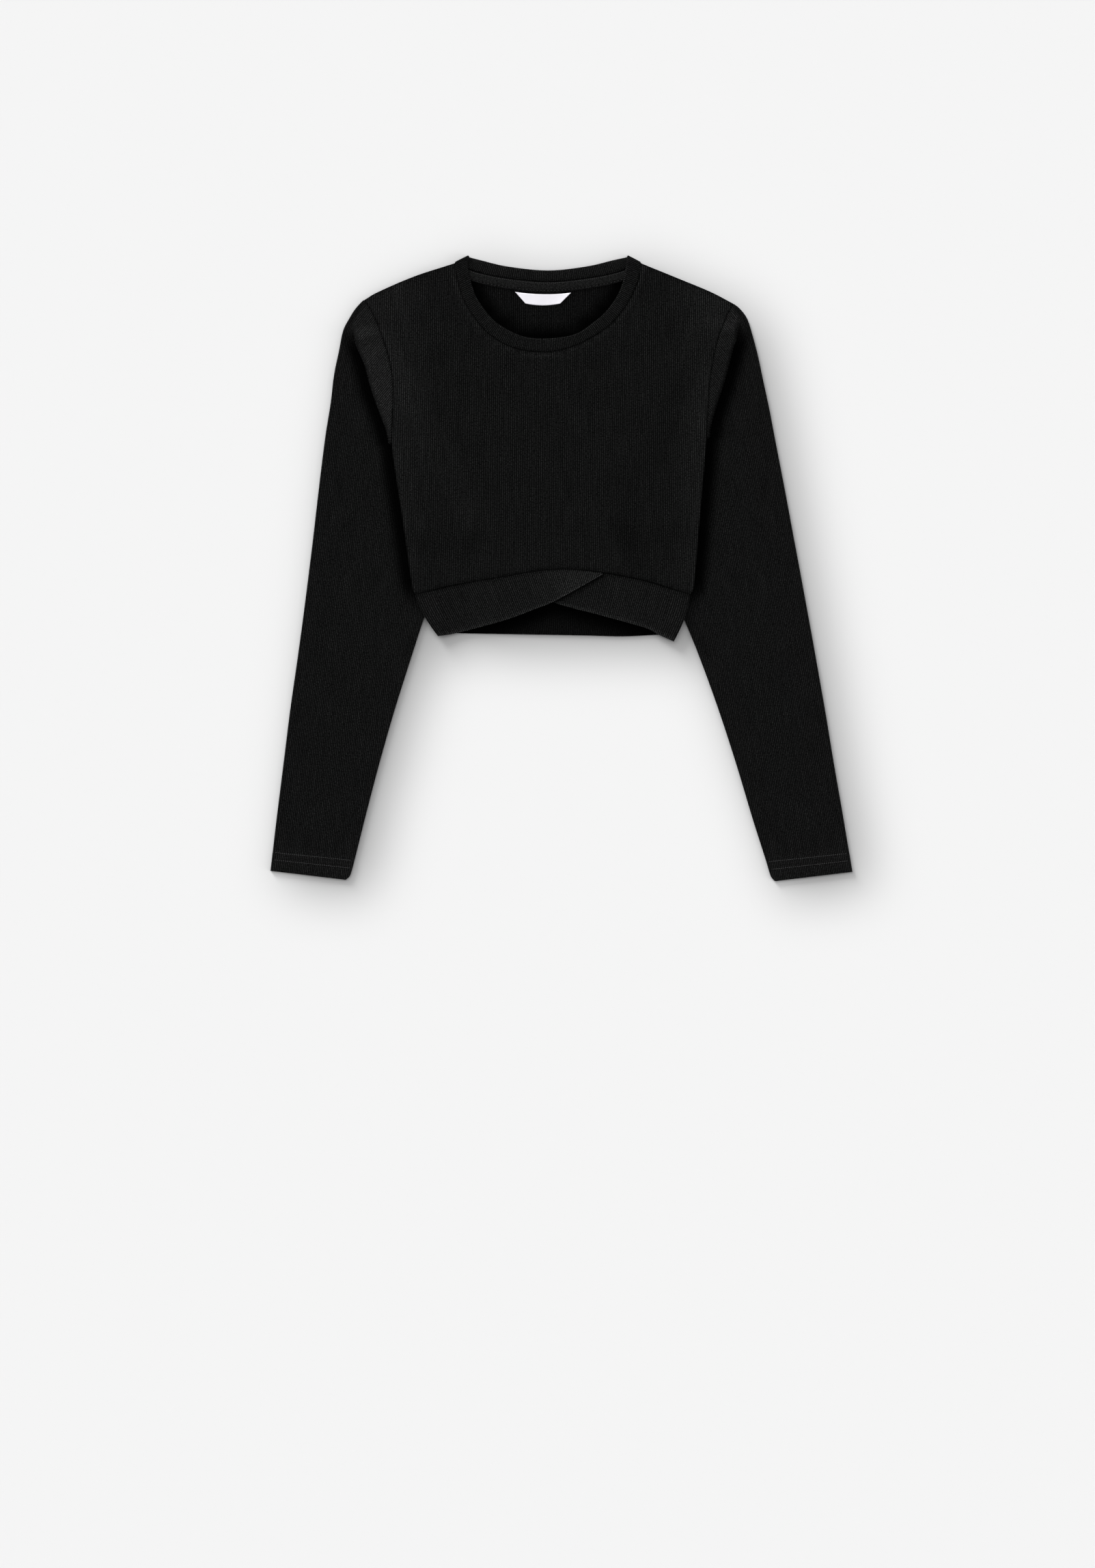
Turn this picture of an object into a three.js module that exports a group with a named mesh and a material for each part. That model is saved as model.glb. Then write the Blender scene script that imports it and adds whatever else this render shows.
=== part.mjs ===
// A cropped, long-sleeved top in fine rib knit, laid flat on its back and seen from above.
// Millimetres. X runs to the viewer's right, Y towards the collar and Z up from the surface.
// The origin is the middle of the garment's box, at the surface that it lies on.
// Left and right are the viewer's. Depth (D) is the distance from X = 0 out to either side.
import * as THREE from 'three';

// Cloth
const JERSEY = 1.0; // one layer of the rib knit
const BAND = 1.6; // the doubled waistband
const NECK_RIB = 1.8; // the doubled neckband
const TAPE = 0.8; // the tape inside the back neck
const LABEL = 0.7;
const SEAM = 0.3; // between two pieces at a seam
const AIR = 0.3; // between two pieces that lie on each other
const LAYER_AIR = 0.5; // between the two layers of a sleeve, or of the body at its sides
const CROWN = 1.0; // how far the front stands off the back, away from the sides
const CROWN_RUN = 28; // distance over which it gets there
const EDGE_ROUND = 0.8; // width of the rounding along a cut or folded edge
const EDGE_DROP = 0.55; // share of a layer's thickness that the rounding takes off

// The sleeve's pleat: seen from above, the cap folds under at the ridge, runs back to a hidden
// valley, and folds again into the sleeve that lies on the surface.
const LEVEL = 2 * JERSEY + LAYER_AIR + AIR; // from one double layer to the next
const HALF_LEVEL = JERSEY + LAYER_AIR / 2; // half a double layer
const TURN = LEVEL / 2; // radius of a fold's middle line
const TURN_REACH = TURN + HALF_LEVEL; // the fold's outer radius
const FOLD_RUN = 22; // length down the sleeve over which the pleat closes
const KNEE_RUN = 12; // length over which it opens again at its lower end
const UNDERARM_STEP = 5; // height in which the cap's edge drops to the level below, at the underarm
const SHORTEST = 1.0; // least length of a stretch between folds
const DRAPE_RUN = 36; // width over which the body comes down off the sleeve
const DRAPE_LEAD = 7; // how far beyond the sleeve's hidden edge the drape keeps its height
const STEP_RUN = 34; // length over which the drape sinks from two double layers to one

const FLAT = 0.01; // fold angle below which the cloth counts as flat
const RELAX_RUN = 80; // length over which the columns spread out evenly beyond the pleat

// Doubled hem at the cuff
const HEM = 19;
const HEM_THICKER = 0.3;
const DROP_FROM = -190; // height from which the sections tilt to meet the cuff's slant

// Body outline, from the waist seam up
const SIDE_LEFT = [
  // Y, D
  [-27, 150], [-24, 152], [50, 162.7], [124, 173.4], [150, 173], [181, 172.3],
  [205, 174.3], [224, 179], [243, 185.5], [261, 193], [275, 201.6],
];
const SIDE_RIGHT = [
  // Y, D
  [-27, 132], [-23, 135], [55, 141.8], [132, 148.4], [162, 149.8], [187, 151.2],
  [212, 154.7], [233, 159.6], [251, 166], [263, 171], [271, 176],
];
const SHOULDER_LEFT = [
  // X, Y
  [-201.6, 275], [-190, 282], [-152, 298.5], [-109, 312.5],
];
const SHOULDER_RIGHT = [
  // X, Y
  [81, 312.5], [115.5, 298.5], [153, 283], [176, 271],
];
const NECK_SEAM_FRONT = [
  // X, Y
  [-109, 312.5], [-107, 299], [-101.5, 279], [-93, 263], [-78.5, 244], [-59.5, 230.5], [-38.5, 223.5],
  [-14, 222], [7, 226], [27.5, 235], [47.5, 248], [62.5, 264.5], [74, 284], [80, 301], [81, 312.5],
];
const NECK_EDGE_FRONT = [
  // X, Y
  [-94.5, 319], [-96, 309], [-93, 295], [-87, 277.5], [-73.5, 258.5], [-59.5, 247], [-38.5, 237.5],
  [-14, 235.5], [14, 240], [33.5, 252.5], [47.5, 265.5], [59.5, 284], [65, 304], [67, 319],
];
const NECK_SEAM_BACK = [
  // X, Y
  [81, 312.5], [56, 303.5], [25, 297.5], [-14, 294], [-55, 297.5], [-85, 303.5], [-109, 312.5],
];
const NECK_EDGE_BACK = [
  // X, Y
  [67, 319], [53, 316], [25, 309.5], [-14, 305.5], [-55, 309.5], [-83, 316], [-94.5, 319],
];
const WAIST_FRONT = [
  // X, Y
  [-150, -27], [-110, -17], [-61, -9], [-27, -3], [6, -1], [44, -4.5], [85, -12.5], [132, -27],
];
const WAIST_BACK = [
  // X, Y
  [-150, -27], [-10, -26], [132, -27],
];

// Waistband edges. The over band ends at OVER_END and the under band at UNDER_END.
const OVER_END = 42;
const UNDER_END = -64;
const OVER_HEM = [
  // X, Y
  [-126.5, -69.5], [-106.5, -66], [-58, -53], [-27, -41.5], [-9, -34.5], [17.5, -20], [OVER_END, -6.2],
];
const UNDER_HEM = [
  // X, Y
  [115, -75], [98.5, -67.5], [84.5, -60.5], [40, -48], [-9, -34.5], [UNDER_END, -11.5],
];
const BACK_HEM = [
  // X, Y
  [-126.5, -66], [17.5, -68.5], [62, -69.5], [99, -68], [113, -69],
];
const BAND_BULGE = 2.6; // how far a band's short side bows out
const OVER_RISE = [-104, -68]; // X between which the over band climbs onto the under band

// Tape and label inside the back neck
const TAPE_ENDS = [-97, 69];
const TAPE_WIDTH = 10;
const TAPE_START = 0.9; // below the neck seam
const LABEL_TOP = [-47.6, 9.8];
const LABEL_FOOT = [-37, -1.4];
const LABEL_SPAN = [282.6, 270];

// Sleeves. All tables run down the sleeve: Y, D.
const SLEEVES = [
  {
    name: 'sleeve_left',
    side: -1,
    armhole: SIDE_LEFT,
    top: 273,
    pleatTop: 250,
    underarm: 128,
    valleySlope: 0.508,
    cuffDrop: 9,
    outer: [
      [277, 201], [267, 210.5], [257, 217], [244.5, 223.5], [223, 228], [199, 233], [170, 236.5],
      [135, 242], [79, 249], [23, 255.5], [-33, 262.5], [-89, 270], [-145, 278], [-201, 285],
      [-257, 292], [-310, 298.2],
    ],
    ridge: [
      [250, 217], [238, 213], [211, 203], [183, 195.3], [156, 185.5], [138, 179], [126, 177],
    ],
    inner: [
      [-52, 141.4], [-89, 153.3], [-145, 171], [-201, 187], [-257, 201.6], [-301, 212.6], [-312, 215.6],
      [-316, 217.4], [-319, 221],
    ],
  },
  {
    name: 'sleeve_right',
    side: 1,
    armhole: SIDE_RIGHT,
    top: 269,
    pleatTop: 256,
    underarm: 134,
    valleySlope: 0.47,
    cuffDrop: 9.4,
    outer: [
      [273.5, 173.5], [267, 182], [257, 189.7], [240.5, 195.3], [219, 201], [191, 207], [163, 213],
      [135, 218.4], [79, 229.2], [23, 239.6], [-33, 250], [-89, 260.2], [-145, 270], [-201, 279.3],
      [-257, 289], [-311, 298.1],
    ],
    ridge: [
      [256, 184], [246, 182], [222, 175.7], [199, 169.8], [181, 164.2], [162, 158], [144, 153], [132, 152],
    ],
    inner: [
      [-51, 125.3], [-89, 140.7], [-145, 161], [-201, 179.2], [-257, 196], [-301, 210], [-312, 213.2],
      [-317, 215.3], [-320.4, 219],
    ],
  },
];

// Mesh density
const SHOULDER_STEPS = 5;
const NECK_STEPS = 16;
const SIDE_ROWS = 6;
const SIDE_SHARE = 0.17;
const SLEEVE_ROWS = { cap: 3, closing: 3, pleat: 5, hidden: 2, knee: 2, lower: 7 };
const PATH_STEPS = [4, 3, 1, 3, 2, 1]; // sleeve, first turn, middle, second turn, cap, rounded edge
const ROLL_STEPS = 3;
const BAND_STEPS = { over: 16, under: 16, back: 22, across: 3 };
const NECK_TURN_STEPS = 5;
const TAPE_STEPS = 8;

const COLOURS = { rib: 0x1b1b1d, band: 0x202022, inside: 0x161617, label: 0xe9e9ea };

const mix = (a, b, t) => a + (b - a) * t;
const clamp01 = (t) => Math.min(1, Math.max(0, t));
const ease = (t) => clamp01(t) ** 2 * (3 - 2 * clamp01(t));
const vec = (x, y, z) => new THREE.Vector3(x, y, z);

// The value in a table at a key, smoothly through its rows, and straight on past its ends.
function along(table, key) {
  const rows = table[0][0] < table.at(-1)[0] ? table : [...table].reverse();
  const last = rows.length - 1;
  let i = 0;
  while (i < last - 1 && key > rows[i + 1][0]) i += 1;
  const slope = (a, b) => (rows[b][1] - rows[a][1]) / (rows[b][0] - rows[a][0]);
  const span = rows[i + 1][0] - rows[i][0];
  const t = (key - rows[i][0]) / span;
  if (t < 0 || t > 1) return rows[i][1] + slope(i, i + 1) * span * t;
  const start = slope(Math.max(0, i - 1), i + 1) * span;
  const end = slope(i, Math.min(last, i + 2)) * span;
  const [p, q] = [rows[i][1], rows[i + 1][1]];
  return p + start * t + (3 * (q - p) - 2 * start - end) * t ** 2 + (2 * (p - q) + start + end) * t ** 3;
}

// Points evenly spaced along a smooth curve through [x, y] rows.
function spaced(points, steps) {
  return new THREE.SplineCurve(points.map(([x, y]) => new THREE.Vector2(x, y))).getSpacedPoints(steps);
}

function mesh(name, points, faces, colour) {
  const geometry = new THREE.BufferGeometry();
  const volume = faces.reduce((sum, [a, b, c]) => {
    return sum + points[a].dot(new THREE.Vector3().crossVectors(points[b], points[c]));
  }, 0);
  const outward = volume > 0 ? faces : faces.map(([a, b, c]) => [a, c, b]);
  geometry.setAttribute('position', new THREE.Float32BufferAttribute(points.flatMap((p) => p.toArray()), 3));
  geometry.setIndex(outward.flat());
  geometry.computeVertexNormals();
  const material = new THREE.MeshStandardMaterial({ color: colour, roughness: 0.95, metalness: 0 });
  const made = new THREE.Mesh(geometry, material);
  made.name = name;
  return made;
}

const quad = (a, b, c, d) => [[a, b, c], [a, c, d]];

// A wall of cloth between its outer and inner faces, two grids of points with the same rows.
function wall(name, outer, inner, colour) {
  const [rows, columns] = [outer.length, outer[0].length];
  const at = (i, j) => i * columns + j;
  const under = rows * columns;
  const faces = [];
  for (let i = 0; i < rows - 1; i += 1) {
    for (let j = 0; j < columns - 1; j += 1) {
      const corners = [at(i, j), at(i, j + 1), at(i + 1, j + 1), at(i + 1, j)];
      faces.push(...quad(...corners));
      faces.push(...quad(...corners.reverse().map((k) => k + under)));
    }
  }
  const rim = [];
  for (let j = 0; j < columns - 1; j += 1) rim.push(at(0, j));
  for (let i = 0; i < rows - 1; i += 1) rim.push(at(i, columns - 1));
  for (let j = columns - 1; j > 0; j -= 1) rim.push(at(rows - 1, j));
  for (let i = rows - 1; i > 0; i -= 1) rim.push(at(i, 0));
  rim.forEach((k, n) => {
    const next = rim[(n + 1) % rim.length];
    faces.push(...quad(k, k + under, next + under, next));
  });
  return mesh(name, [...outer.flat(), ...inner.flat()], faces, colour);
}

// A closed ring of closed sections.
function ring(name, sections, colour) {
  const [count, size] = [sections.length, sections[0].length];
  const at = (i, j) => (i % count) * size + (j % size);
  const faces = [];
  for (let i = 0; i < count; i += 1) {
    for (let j = 0; j < size; j += 1) {
      faces.push(...quad(at(i, j), at(i, j + 1), at(i + 1, j + 1), at(i + 1, j)));
    }
  }
  return mesh(name, sections.flat(), faces, colour);
}

// Depth of the sleeve's inner edge, straight on above its table, where the body hides it.
function innerAt(sleeve, y) {
  const [first, second] = sleeve.inner;
  const slope = (second[1] - first[1]) / (first[0] - second[0]);
  return y > first[0] ? first[1] - slope * (y - first[0]) : along(sleeve.inner, y);
}

// The sleeve's pleat at one height: where it folds, how far each fold turns, and what it adds in height.
function pleatAt(sleeve, y) {
  const [first, second] = sleeve.inner;
  const innerSlope = (second[1] - first[1]) / (first[0] - second[0]);
  const innerLine = first[1] + innerSlope * first[0];
  const valleyLine = sleeve.ridge[0][1] - sleeve.valleySlope * sleeve.pleatTop;
  const knee = (innerLine - valleyLine) / (sleeve.valleySlope + innerSlope);
  const kneeDepth = innerLine - innerSlope * knee;
  const valley = valleyLine + sleeve.valleySlope * y;
  const armhole = along(sleeve.armhole, y) + SEAM / 2;
  const ridge = Math.max(along(sleeve.ridge, y), armhole + TURN_REACH + SHORTEST);
  const capped = y > sleeve.underarm;
  const seamTop = along(sleeve.armhole, sleeve.underarm) + SEAM;
  const seam = mix(kneeDepth, seamTop, clamp01((y - knee) / (sleeve.underarm - UNDERARM_STEP - knee)));
  const closing = ease((sleeve.pleatTop - y) / FOLD_RUN);
  const angle = Math.PI * Math.min(closing, ease((y - knee) / KNEE_RUN));
  const turn = Math.PI * TURN * (0.5 + angle / Math.PI / 2);
  const middle = Math.max(SHORTEST, (capped ? ridge - TURN_REACH : seam) - valley - TURN_REACH);
  const radius = turn / Math.max(angle, FLAT);
  const advance = angle > FLAT ? radius * Math.sin(angle) : turn;
  const half = advance + (middle / 2) * Math.cos(angle);
  const outer = along(sleeve.outer, y) - HALF_LEVEL;
  const centre = Math.min((ridge + valley) / 2, outer - SHORTEST / 2 - half);
  const rise = 2 * radius * (1 - Math.cos(angle)) + middle * Math.sin(angle);
  return { knee, valley, armhole, capped, angle, turn, middle, radius, advance, half, outer, centre, rise };
}

// Height of the lowest layer of the body or cap above the surface, where it passes over a sleeve.
function drape(x, y) {
  const sleeve = SLEEVES[x < 0 ? 0 : 1];
  const pleat = pleatAt(sleeve, y);
  if (y >= sleeve.pleatTop) return 0;
  const sinking = mix(LEVEL, 2 * LEVEL, ease(1 - (pleat.knee - y) / STEP_RUN));
  const level = pleat.capped ? pleat.rise : sinking;
  const edge = y > pleat.knee ? pleat.valley : innerAt(sleeve, y);
  const start = (pleat.capped ? Math.min(edge, pleat.centre - pleat.half) : edge) - DRAPE_LEAD;
  return level * ease((Math.abs(x) - start + DRAPE_RUN) / DRAPE_RUN);
}

// The middle line between the sleeve's two layers, across the sleeve at one height, from its outer
// edge to the armhole or the underarm seam. stops are the distances along it where stretches meet.
function sleevePath(sleeve, y, drop) {
  const pleat = pleatAt(sleeve, y);
  const { angle, turn, middle, radius, advance, half, outer } = pleat;
  let stops;
  if (pleat.capped) {
    const first = outer - pleat.centre - half;
    const cap = Math.max(SHORTEST, pleat.centre - half - pleat.armhole);
    const last = first + 2 * turn + middle + cap;
    const round = last - Math.min(EDGE_ROUND, cap / 3);
    const fit = angle < FLAT ? (outer - pleat.armhole) / last : 1;
    stops = [0, first, first + turn, first + turn + middle, last - cap, round, last].map((s) => s * fit);
  } else {
    const inward = angle < Math.PI / 2 ? advance + middle * Math.cos(angle) : radius;
    const edge = y > pleat.knee ? pleat.valley : innerAt(sleeve, y - drop);
    const first = outer - edge - inward - HALF_LEVEL * Math.sin(Math.min(angle, Math.PI / 2));
    const last = first + turn + middle;
    const end = Math.min(EDGE_ROUND, middle / 2) / 3;
    stops = [0, first, first + turn, last - 3 * end, last - 2 * end, last - end, last];
  }
  const last = stops.at(-1);
  const relax = Math.max(ease((pleat.knee - y) / RELAX_RUN), ease((y - sleeve.pleatTop) / RELAX_RUN));
  let steps = 0;
  const total = PATH_STEPS.reduce((sum, n) => sum + n, 0);
  const even = [0, ...PATH_STEPS.map((n) => { steps += n; return (steps / total) * last; })];
  even[even.length - 2] = last - Math.min(EDGE_ROUND, last / total);
  const marks = stops.map((s, k) => mix(s, even[k], relax));

  function at(s) {
    const [, first, second, third, fourth] = stops;
    const sin = Math.sin(angle);
    const cos = Math.cos(angle);
    if (s <= first || angle < FLAT) {
      return { depth: outer - s, z: HALF_LEVEL, tilt: 0 };
    }
    if (s <= second) {
      const tilt = ((s - first) / turn) * angle;
      const turned = outer - first - radius * Math.sin(tilt);
      return { depth: turned, z: HALF_LEVEL + radius * (1 - Math.cos(tilt)), tilt };
    }
    const depth = outer - first - advance;
    const z = HALF_LEVEL + radius * (1 - cos);
    if (s <= third || !pleat.capped) {
      return { depth: depth - (s - second) * cos, z: z + (s - second) * sin, tilt: angle };
    }
    if (s <= fourth) {
      const tilt = angle * (1 - (s - third) / turn);
      return {
        depth: depth - middle * cos - radius * (sin - Math.sin(tilt)),
        z: z + middle * sin + radius * (Math.cos(tilt) - cos),
        tilt,
      };
    }
    const capDepth = depth - middle * cos - advance - (s - fourth);
    return { depth: capDepth, z: HALF_LEVEL + drape(sleeve.side * capDepth, y), tilt: 0 };
  }
  return { at, marks, last };
}

// Heights of the sleeve's sections, closest where the pleat changes shape.
function sleeveHeights(sleeve) {
  const { knee } = pleatAt(sleeve, 0);
  const cuff = sleeve.outer.at(-1)[0];
  const spans = [
    [sleeve.top, sleeve.pleatTop, SLEEVE_ROWS.cap],
    [sleeve.pleatTop, sleeve.pleatTop - FOLD_RUN, SLEEVE_ROWS.closing],
    [sleeve.pleatTop - FOLD_RUN, sleeve.underarm + 1, SLEEVE_ROWS.pleat],
    [sleeve.underarm - UNDERARM_STEP, knee + KNEE_RUN, SLEEVE_ROWS.hidden],
    [knee + KNEE_RUN, knee, SLEEVE_ROWS.knee],
    [knee, cuff + HEM, SLEEVE_ROWS.lower],
    [cuff + HEM - 1, cuff + 3, 1],
    [cuff, cuff, 0],
  ];
  const heights = spans.flatMap(([from, to, count]) => {
    return Array.from({ length: count + 1 }, (_, k) => mix(from, to, count ? k / count : 0));
  });
  return heights.filter((y, k) => k === 0 || Math.abs(y - heights[k - 1]) > 0.01);
}

function sleeve(spec) {
  const cuff = spec.outer.at(-1)[0];
  const faces = { outer: [], inner: [] };
  for (const y of sleeveHeights(spec)) {
    const drop = spec.cuffDrop * ease((DROP_FROM - y) / (DROP_FROM - cuff));
    const path = sleevePath(spec, y, drop);
    const hem = y < cuff + HEM ? HEM_THICKER : 0;
    const distances = [0];
    PATH_STEPS.forEach((count, k) => {
      for (let n = 1; n <= count; n += 1) distances.push(mix(path.marks[k], path.marks[k + 1], n / count));
    });
    const place = (s, across, up, offset) => {
      const { depth, z, tilt } = path.at(s);
      const out = depth + offset * (across * Math.cos(tilt) + up * Math.sin(tilt));
      const height = z + offset * (up * Math.cos(tilt) - across * Math.sin(tilt));
      return vec(spec.side * out, y - drop * (s / path.last), height);
    };
    const rows = { outer: [], inner: [] };
    const add = (s, across, up, thicker = 0) => {
      const cut = s === path.last ? EDGE_DROP * JERSEY : 0;
      rows.outer.push(place(s, across, up, HALF_LEVEL - cut + thicker));
      rows.inner.push(place(s, across, up, LAYER_AIR / 2));
    };
    [...distances].reverse().forEach((s) => add(s, 0, 1, hem));
    for (let k = 1; k < ROLL_STEPS; k += 1) {
      const angle = (Math.PI * k) / ROLL_STEPS;
      add(0, Math.sin(angle), Math.cos(angle));
    }
    distances.forEach((s) => add(s, 0, -1));
    faces.outer.push(rows.outer);
    faces.inner.push(rows.inner);
  }
  return wall(spec.name, faces.outer, faces.inner, COLOURS.rib);
}

// A curve moved sideways, to the left of its direction.
function offsetCurve(points, distance) {
  return points.map((p, k) => {
    const before = points[Math.max(0, k - 1)];
    const after = points[Math.min(points.length - 1, k + 1)];
    const way = after.clone().sub(before).normalize();
    return new THREE.Vector2(p.x - way.y * distance, p.y + way.x * distance);
  });
}

// A four-sided patch between its edge curves, rows from bottom to top. The shape of the two sides
// dies away within SIDE_SHARE of the width.
function patch(bottom, top, left, right) {
  const [columns, rows] = [bottom.length - 1, left.length - 1];
  const height = left[rows].y - left[0].y;
  return left.map((start, i) => bottom.map((_, j) => {
    const [u, v] = [j / columns, (start.y - left[0].y) / height];
    const bow = (side, key) => side[i][key] - mix(side[0][key], side[rows][key], v);
    const place = (key) => mix(bottom[j][key], top[j][key], v)
      + bow(left, key) * (1 - ease(u / SIDE_SHARE)) + bow(right, key) * (1 - ease((1 - u) / SIDE_SHARE));
    return new THREE.Vector2(place('x'), place('y'));
  }));
}

// The same grid with one more line just inside each edge, where the rounding starts.
function withRoundedEdges(grid) {
  const line = (points) => {
    const last = points.length - 1;
    const inset = (from, to) => from.clone().lerp(to, Math.min(0.5, EDGE_ROUND / from.distanceTo(to)));
    return [points[0], inset(points[0], points[1]), ...points.slice(1, last),
      inset(points[last], points[last - 1]), points[last]];
  };
  const wide = grid.map(line);
  const columns = wide[0].map((_, j) => line(wide.map((row) => row[j])));
  return columns[0].map((_, i) => columns.map((column) => column[i]));
}

// A flat-lying panel with its outer face up or down, over a grid of places and a base height.
function panel(name, grid, base, thickness, colour, faceUp = true) {
  const rounded = withRoundedEdges(grid);
  const lastRow = rounded.length - 1;
  const cut = (i, j, row) => (i % lastRow === 0 || j % (row.length - 1) === 0 ? EDGE_DROP * JERSEY : 0);
  const layer = (up) => rounded.map((row, i) => row.map((p, j) => {
    const round = up === faceUp ? cut(i, j, row) : 0;
    return vec(p.x, p.y, base(p.x, p.y) + (up ? thickness - round : round));
  }));
  return wall(name, layer(true), layer(false), colour);
}

// One side of the body from the waist up, with the heights of the sleeve's sections along the armhole.
function sideCurve(spec) {
  const table = spec.armhole;
  const [waist, tip] = [table[0][0], table.at(-1)[0]];
  const seamTop = spec.underarm - UNDERARM_STEP;
  const below = Array.from({ length: SIDE_ROWS }, (_, k) => mix(waist, seamTop, k / (SIDE_ROWS - 1)));
  const above = sleeveHeights(spec).filter((y) => y > spec.underarm).reverse();
  return [...below, ...above, tip].map((y) => new THREE.Vector2(spec.side * along(table, y), y));
}

function bodyGrid(waist, neck) {
  const columns = 2 * SHOULDER_STEPS + NECK_STEPS;
  const top = [
    ...spaced(SHOULDER_LEFT, SHOULDER_STEPS),
    ...spaced(neck, NECK_STEPS).slice(1),
    ...spaced(SHOULDER_RIGHT, SHOULDER_STEPS).slice(1),
  ];
  const bottom = offsetCurve(spaced(waist, columns), SEAM / 2);
  const upper = offsetCurve(top, -SEAM / 2);
  const [left, right] = SLEEVES.map((spec) => {
    return sideCurve(spec).map((p) => p.setX(p.x - (spec.side * SEAM) / 2));
  });
  const lastRow = left.length - 1;
  [left[0], left[lastRow]] = [bottom[0], upper[0]];
  [right[0], right[lastRow]] = [bottom[columns], upper[columns]];
  return patch(bottom, upper, left, right);
}

// Underside of the front panel above the surface.
function frontBase(x, y) {
  const side = along(x < 0 ? SIDE_LEFT : SIDE_RIGHT, y) - Math.abs(x);
  const shoulder = x < SHOULDER_RIGHT[0][0] ? SHOULDER_LEFT : SHOULDER_RIGHT;
  const neckPoint = x < SHOULDER_RIGHT[0][0] && x > SHOULDER_LEFT.at(-1)[0];
  const below = neckPoint ? CROWN_RUN : along(shoulder, x) - y;
  const corner = shoulder === SHOULDER_LEFT ? SHOULDER_LEFT.at(-1) : SHOULDER_RIGHT[0];
  const nearNeck = 1 - Math.hypot(x - corner[0], y - corner[1]) / (2 * CROWN_RUN);
  const crown = CROWN * ease(side / CROWN_RUN) * Math.max(ease(below / CROWN_RUN), ease(2 * nearNeck));
  const aboveWaist = y - along(WAIST_FRONT, x);
  const overBand = (BAND - JERSEY) * ease(1 - aboveWaist / CROWN_RUN);
  return drape(x, y) + JERSEY + LAYER_AIR + crown + overBand;
}

// A waistband between its seam and its hem, from the side to its far end.
function band(name, seam, hem, columns, base, sides, faceUp = true) {
  const upper = offsetCurve(spaced(seam, columns), seam[0][0] < seam.at(-1)[0] ? -SEAM / 2 : SEAM / 2);
  const lower = spaced(hem, columns);
  const rows = Array.from({ length: BAND_STEPS.across + 1 }, (_, k) => k / BAND_STEPS.across);
  const grid = rows.map((v) => upper.map((p, j) => {
    const point = p.clone().lerp(lower[j], v);
    const near = [j, columns - j].map((k) => Math.max(0, 1 - k / 2));
    const bow = BAND_BULGE * Math.sin(Math.PI * v);
    point.x += bow * (sides[0] * near[0] + sides[1] * near[1]);
    return point;
  }));
  return panel(name, grid, base, BAND, COLOURS.band, faceUp);
}

const bandBase = (x, y) => drape(x, y) + BAND + LAYER_AIR;
const overBase = (x, y) => {
  return bandBase(x, y) + (BAND + AIR) * ease((x - OVER_RISE[0]) / (OVER_RISE[1] - OVER_RISE[0]));
};

function waistbands() {
  const seamEnd = (x) => [x, along(WAIST_FRONT, x)];
  const overSeam = [...WAIST_FRONT.filter(([x]) => x < OVER_END), seamEnd(OVER_END)];
  const underSeam = [...[...WAIST_FRONT].reverse().filter(([x]) => x > UNDER_END), seamEnd(UNDER_END)];
  return [
    band('band_front_over', overSeam, OVER_HEM, BAND_STEPS.over, overBase, [-1, 0]),
    band('band_front_under', underSeam, UNDER_HEM, BAND_STEPS.under, bandBase, [1, 0]),
    band('band_back', WAIST_BACK, BACK_HEM, BAND_STEPS.back, drape, [-1, 1], false),
  ];
}

// The neckband: a doubled strip, up the front on top, over at each shoulder and across the back below.
function neckband() {
  const section = [[0, -1], [0.5, -1], [0.93, -1], [1, -0.4], [1, 0.4], [0.93, 1], [0.5, 1], [0, 1]];
  const high = JERSEY + LAYER_AIR + CROWN + NECK_RIB / 2;
  const low = NECK_RIB / 2;
  const turn = (high - low) / 2;
  const outward = (seam, edge) => {
    const across = edge.clone().sub(seam).normalize();
    return new THREE.Vector2(-across.y, across.x).multiplyScalar(Math.sign(across.x) || 1);
  };
  const make = (seam, edge, centre, normal) => section.map(([a, b]) => {
    const p = seam.clone().lerp(edge, a);
    return vec(p.x, p.y, centre).addScaledVector(normal, (b * NECK_RIB) / 2);
  });
  const strip = (seamTable, edgeTable, centre, up) => {
    const seams = offsetCurve(spaced(seamTable, NECK_STEPS), (up * SEAM) / 2);
    const edges = spaced(edgeTable, NECK_STEPS);
    return seams.map((seam, k) => {
      return { seam, edge: edges[k], centre, normal: vec(0, 0, up) };
    });
  };
  const front = strip(NECK_SEAM_FRONT, NECK_EDGE_FRONT, high, 1);
  const back = strip(NECK_SEAM_BACK, NECK_EDGE_BACK, low, -1);
  const fold = (from, to, sign) => {
    const out = outward(from.seam, from.edge);
    return Array.from({ length: NECK_TURN_STEPS - 1 }, (_, k) => {
      const share = (k + 1) / NECK_TURN_STEPS;
      const angle = Math.PI * share;
      const normal = vec(out.x * Math.sin(angle), out.y * Math.sin(angle), sign * Math.cos(angle));
      const seam = from.seam.clone().lerp(to.seam, share).addScaledVector(out, turn * Math.sin(angle));
      const edge = from.edge.clone().lerp(to.edge, share).addScaledVector(out, turn * Math.sin(angle));
      return { seam, edge, centre: low + turn + sign * turn * Math.cos(angle), normal };
    });
  };
  const sections = [...front, ...fold(front.at(-1), back[0], 1), ...back, ...fold(back.at(-1), front[0], -1)];
  return ring('neckband', sections.map((s) => make(s.seam, s.edge, s.centre, s.normal)), COLOURS.band);
}

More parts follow.
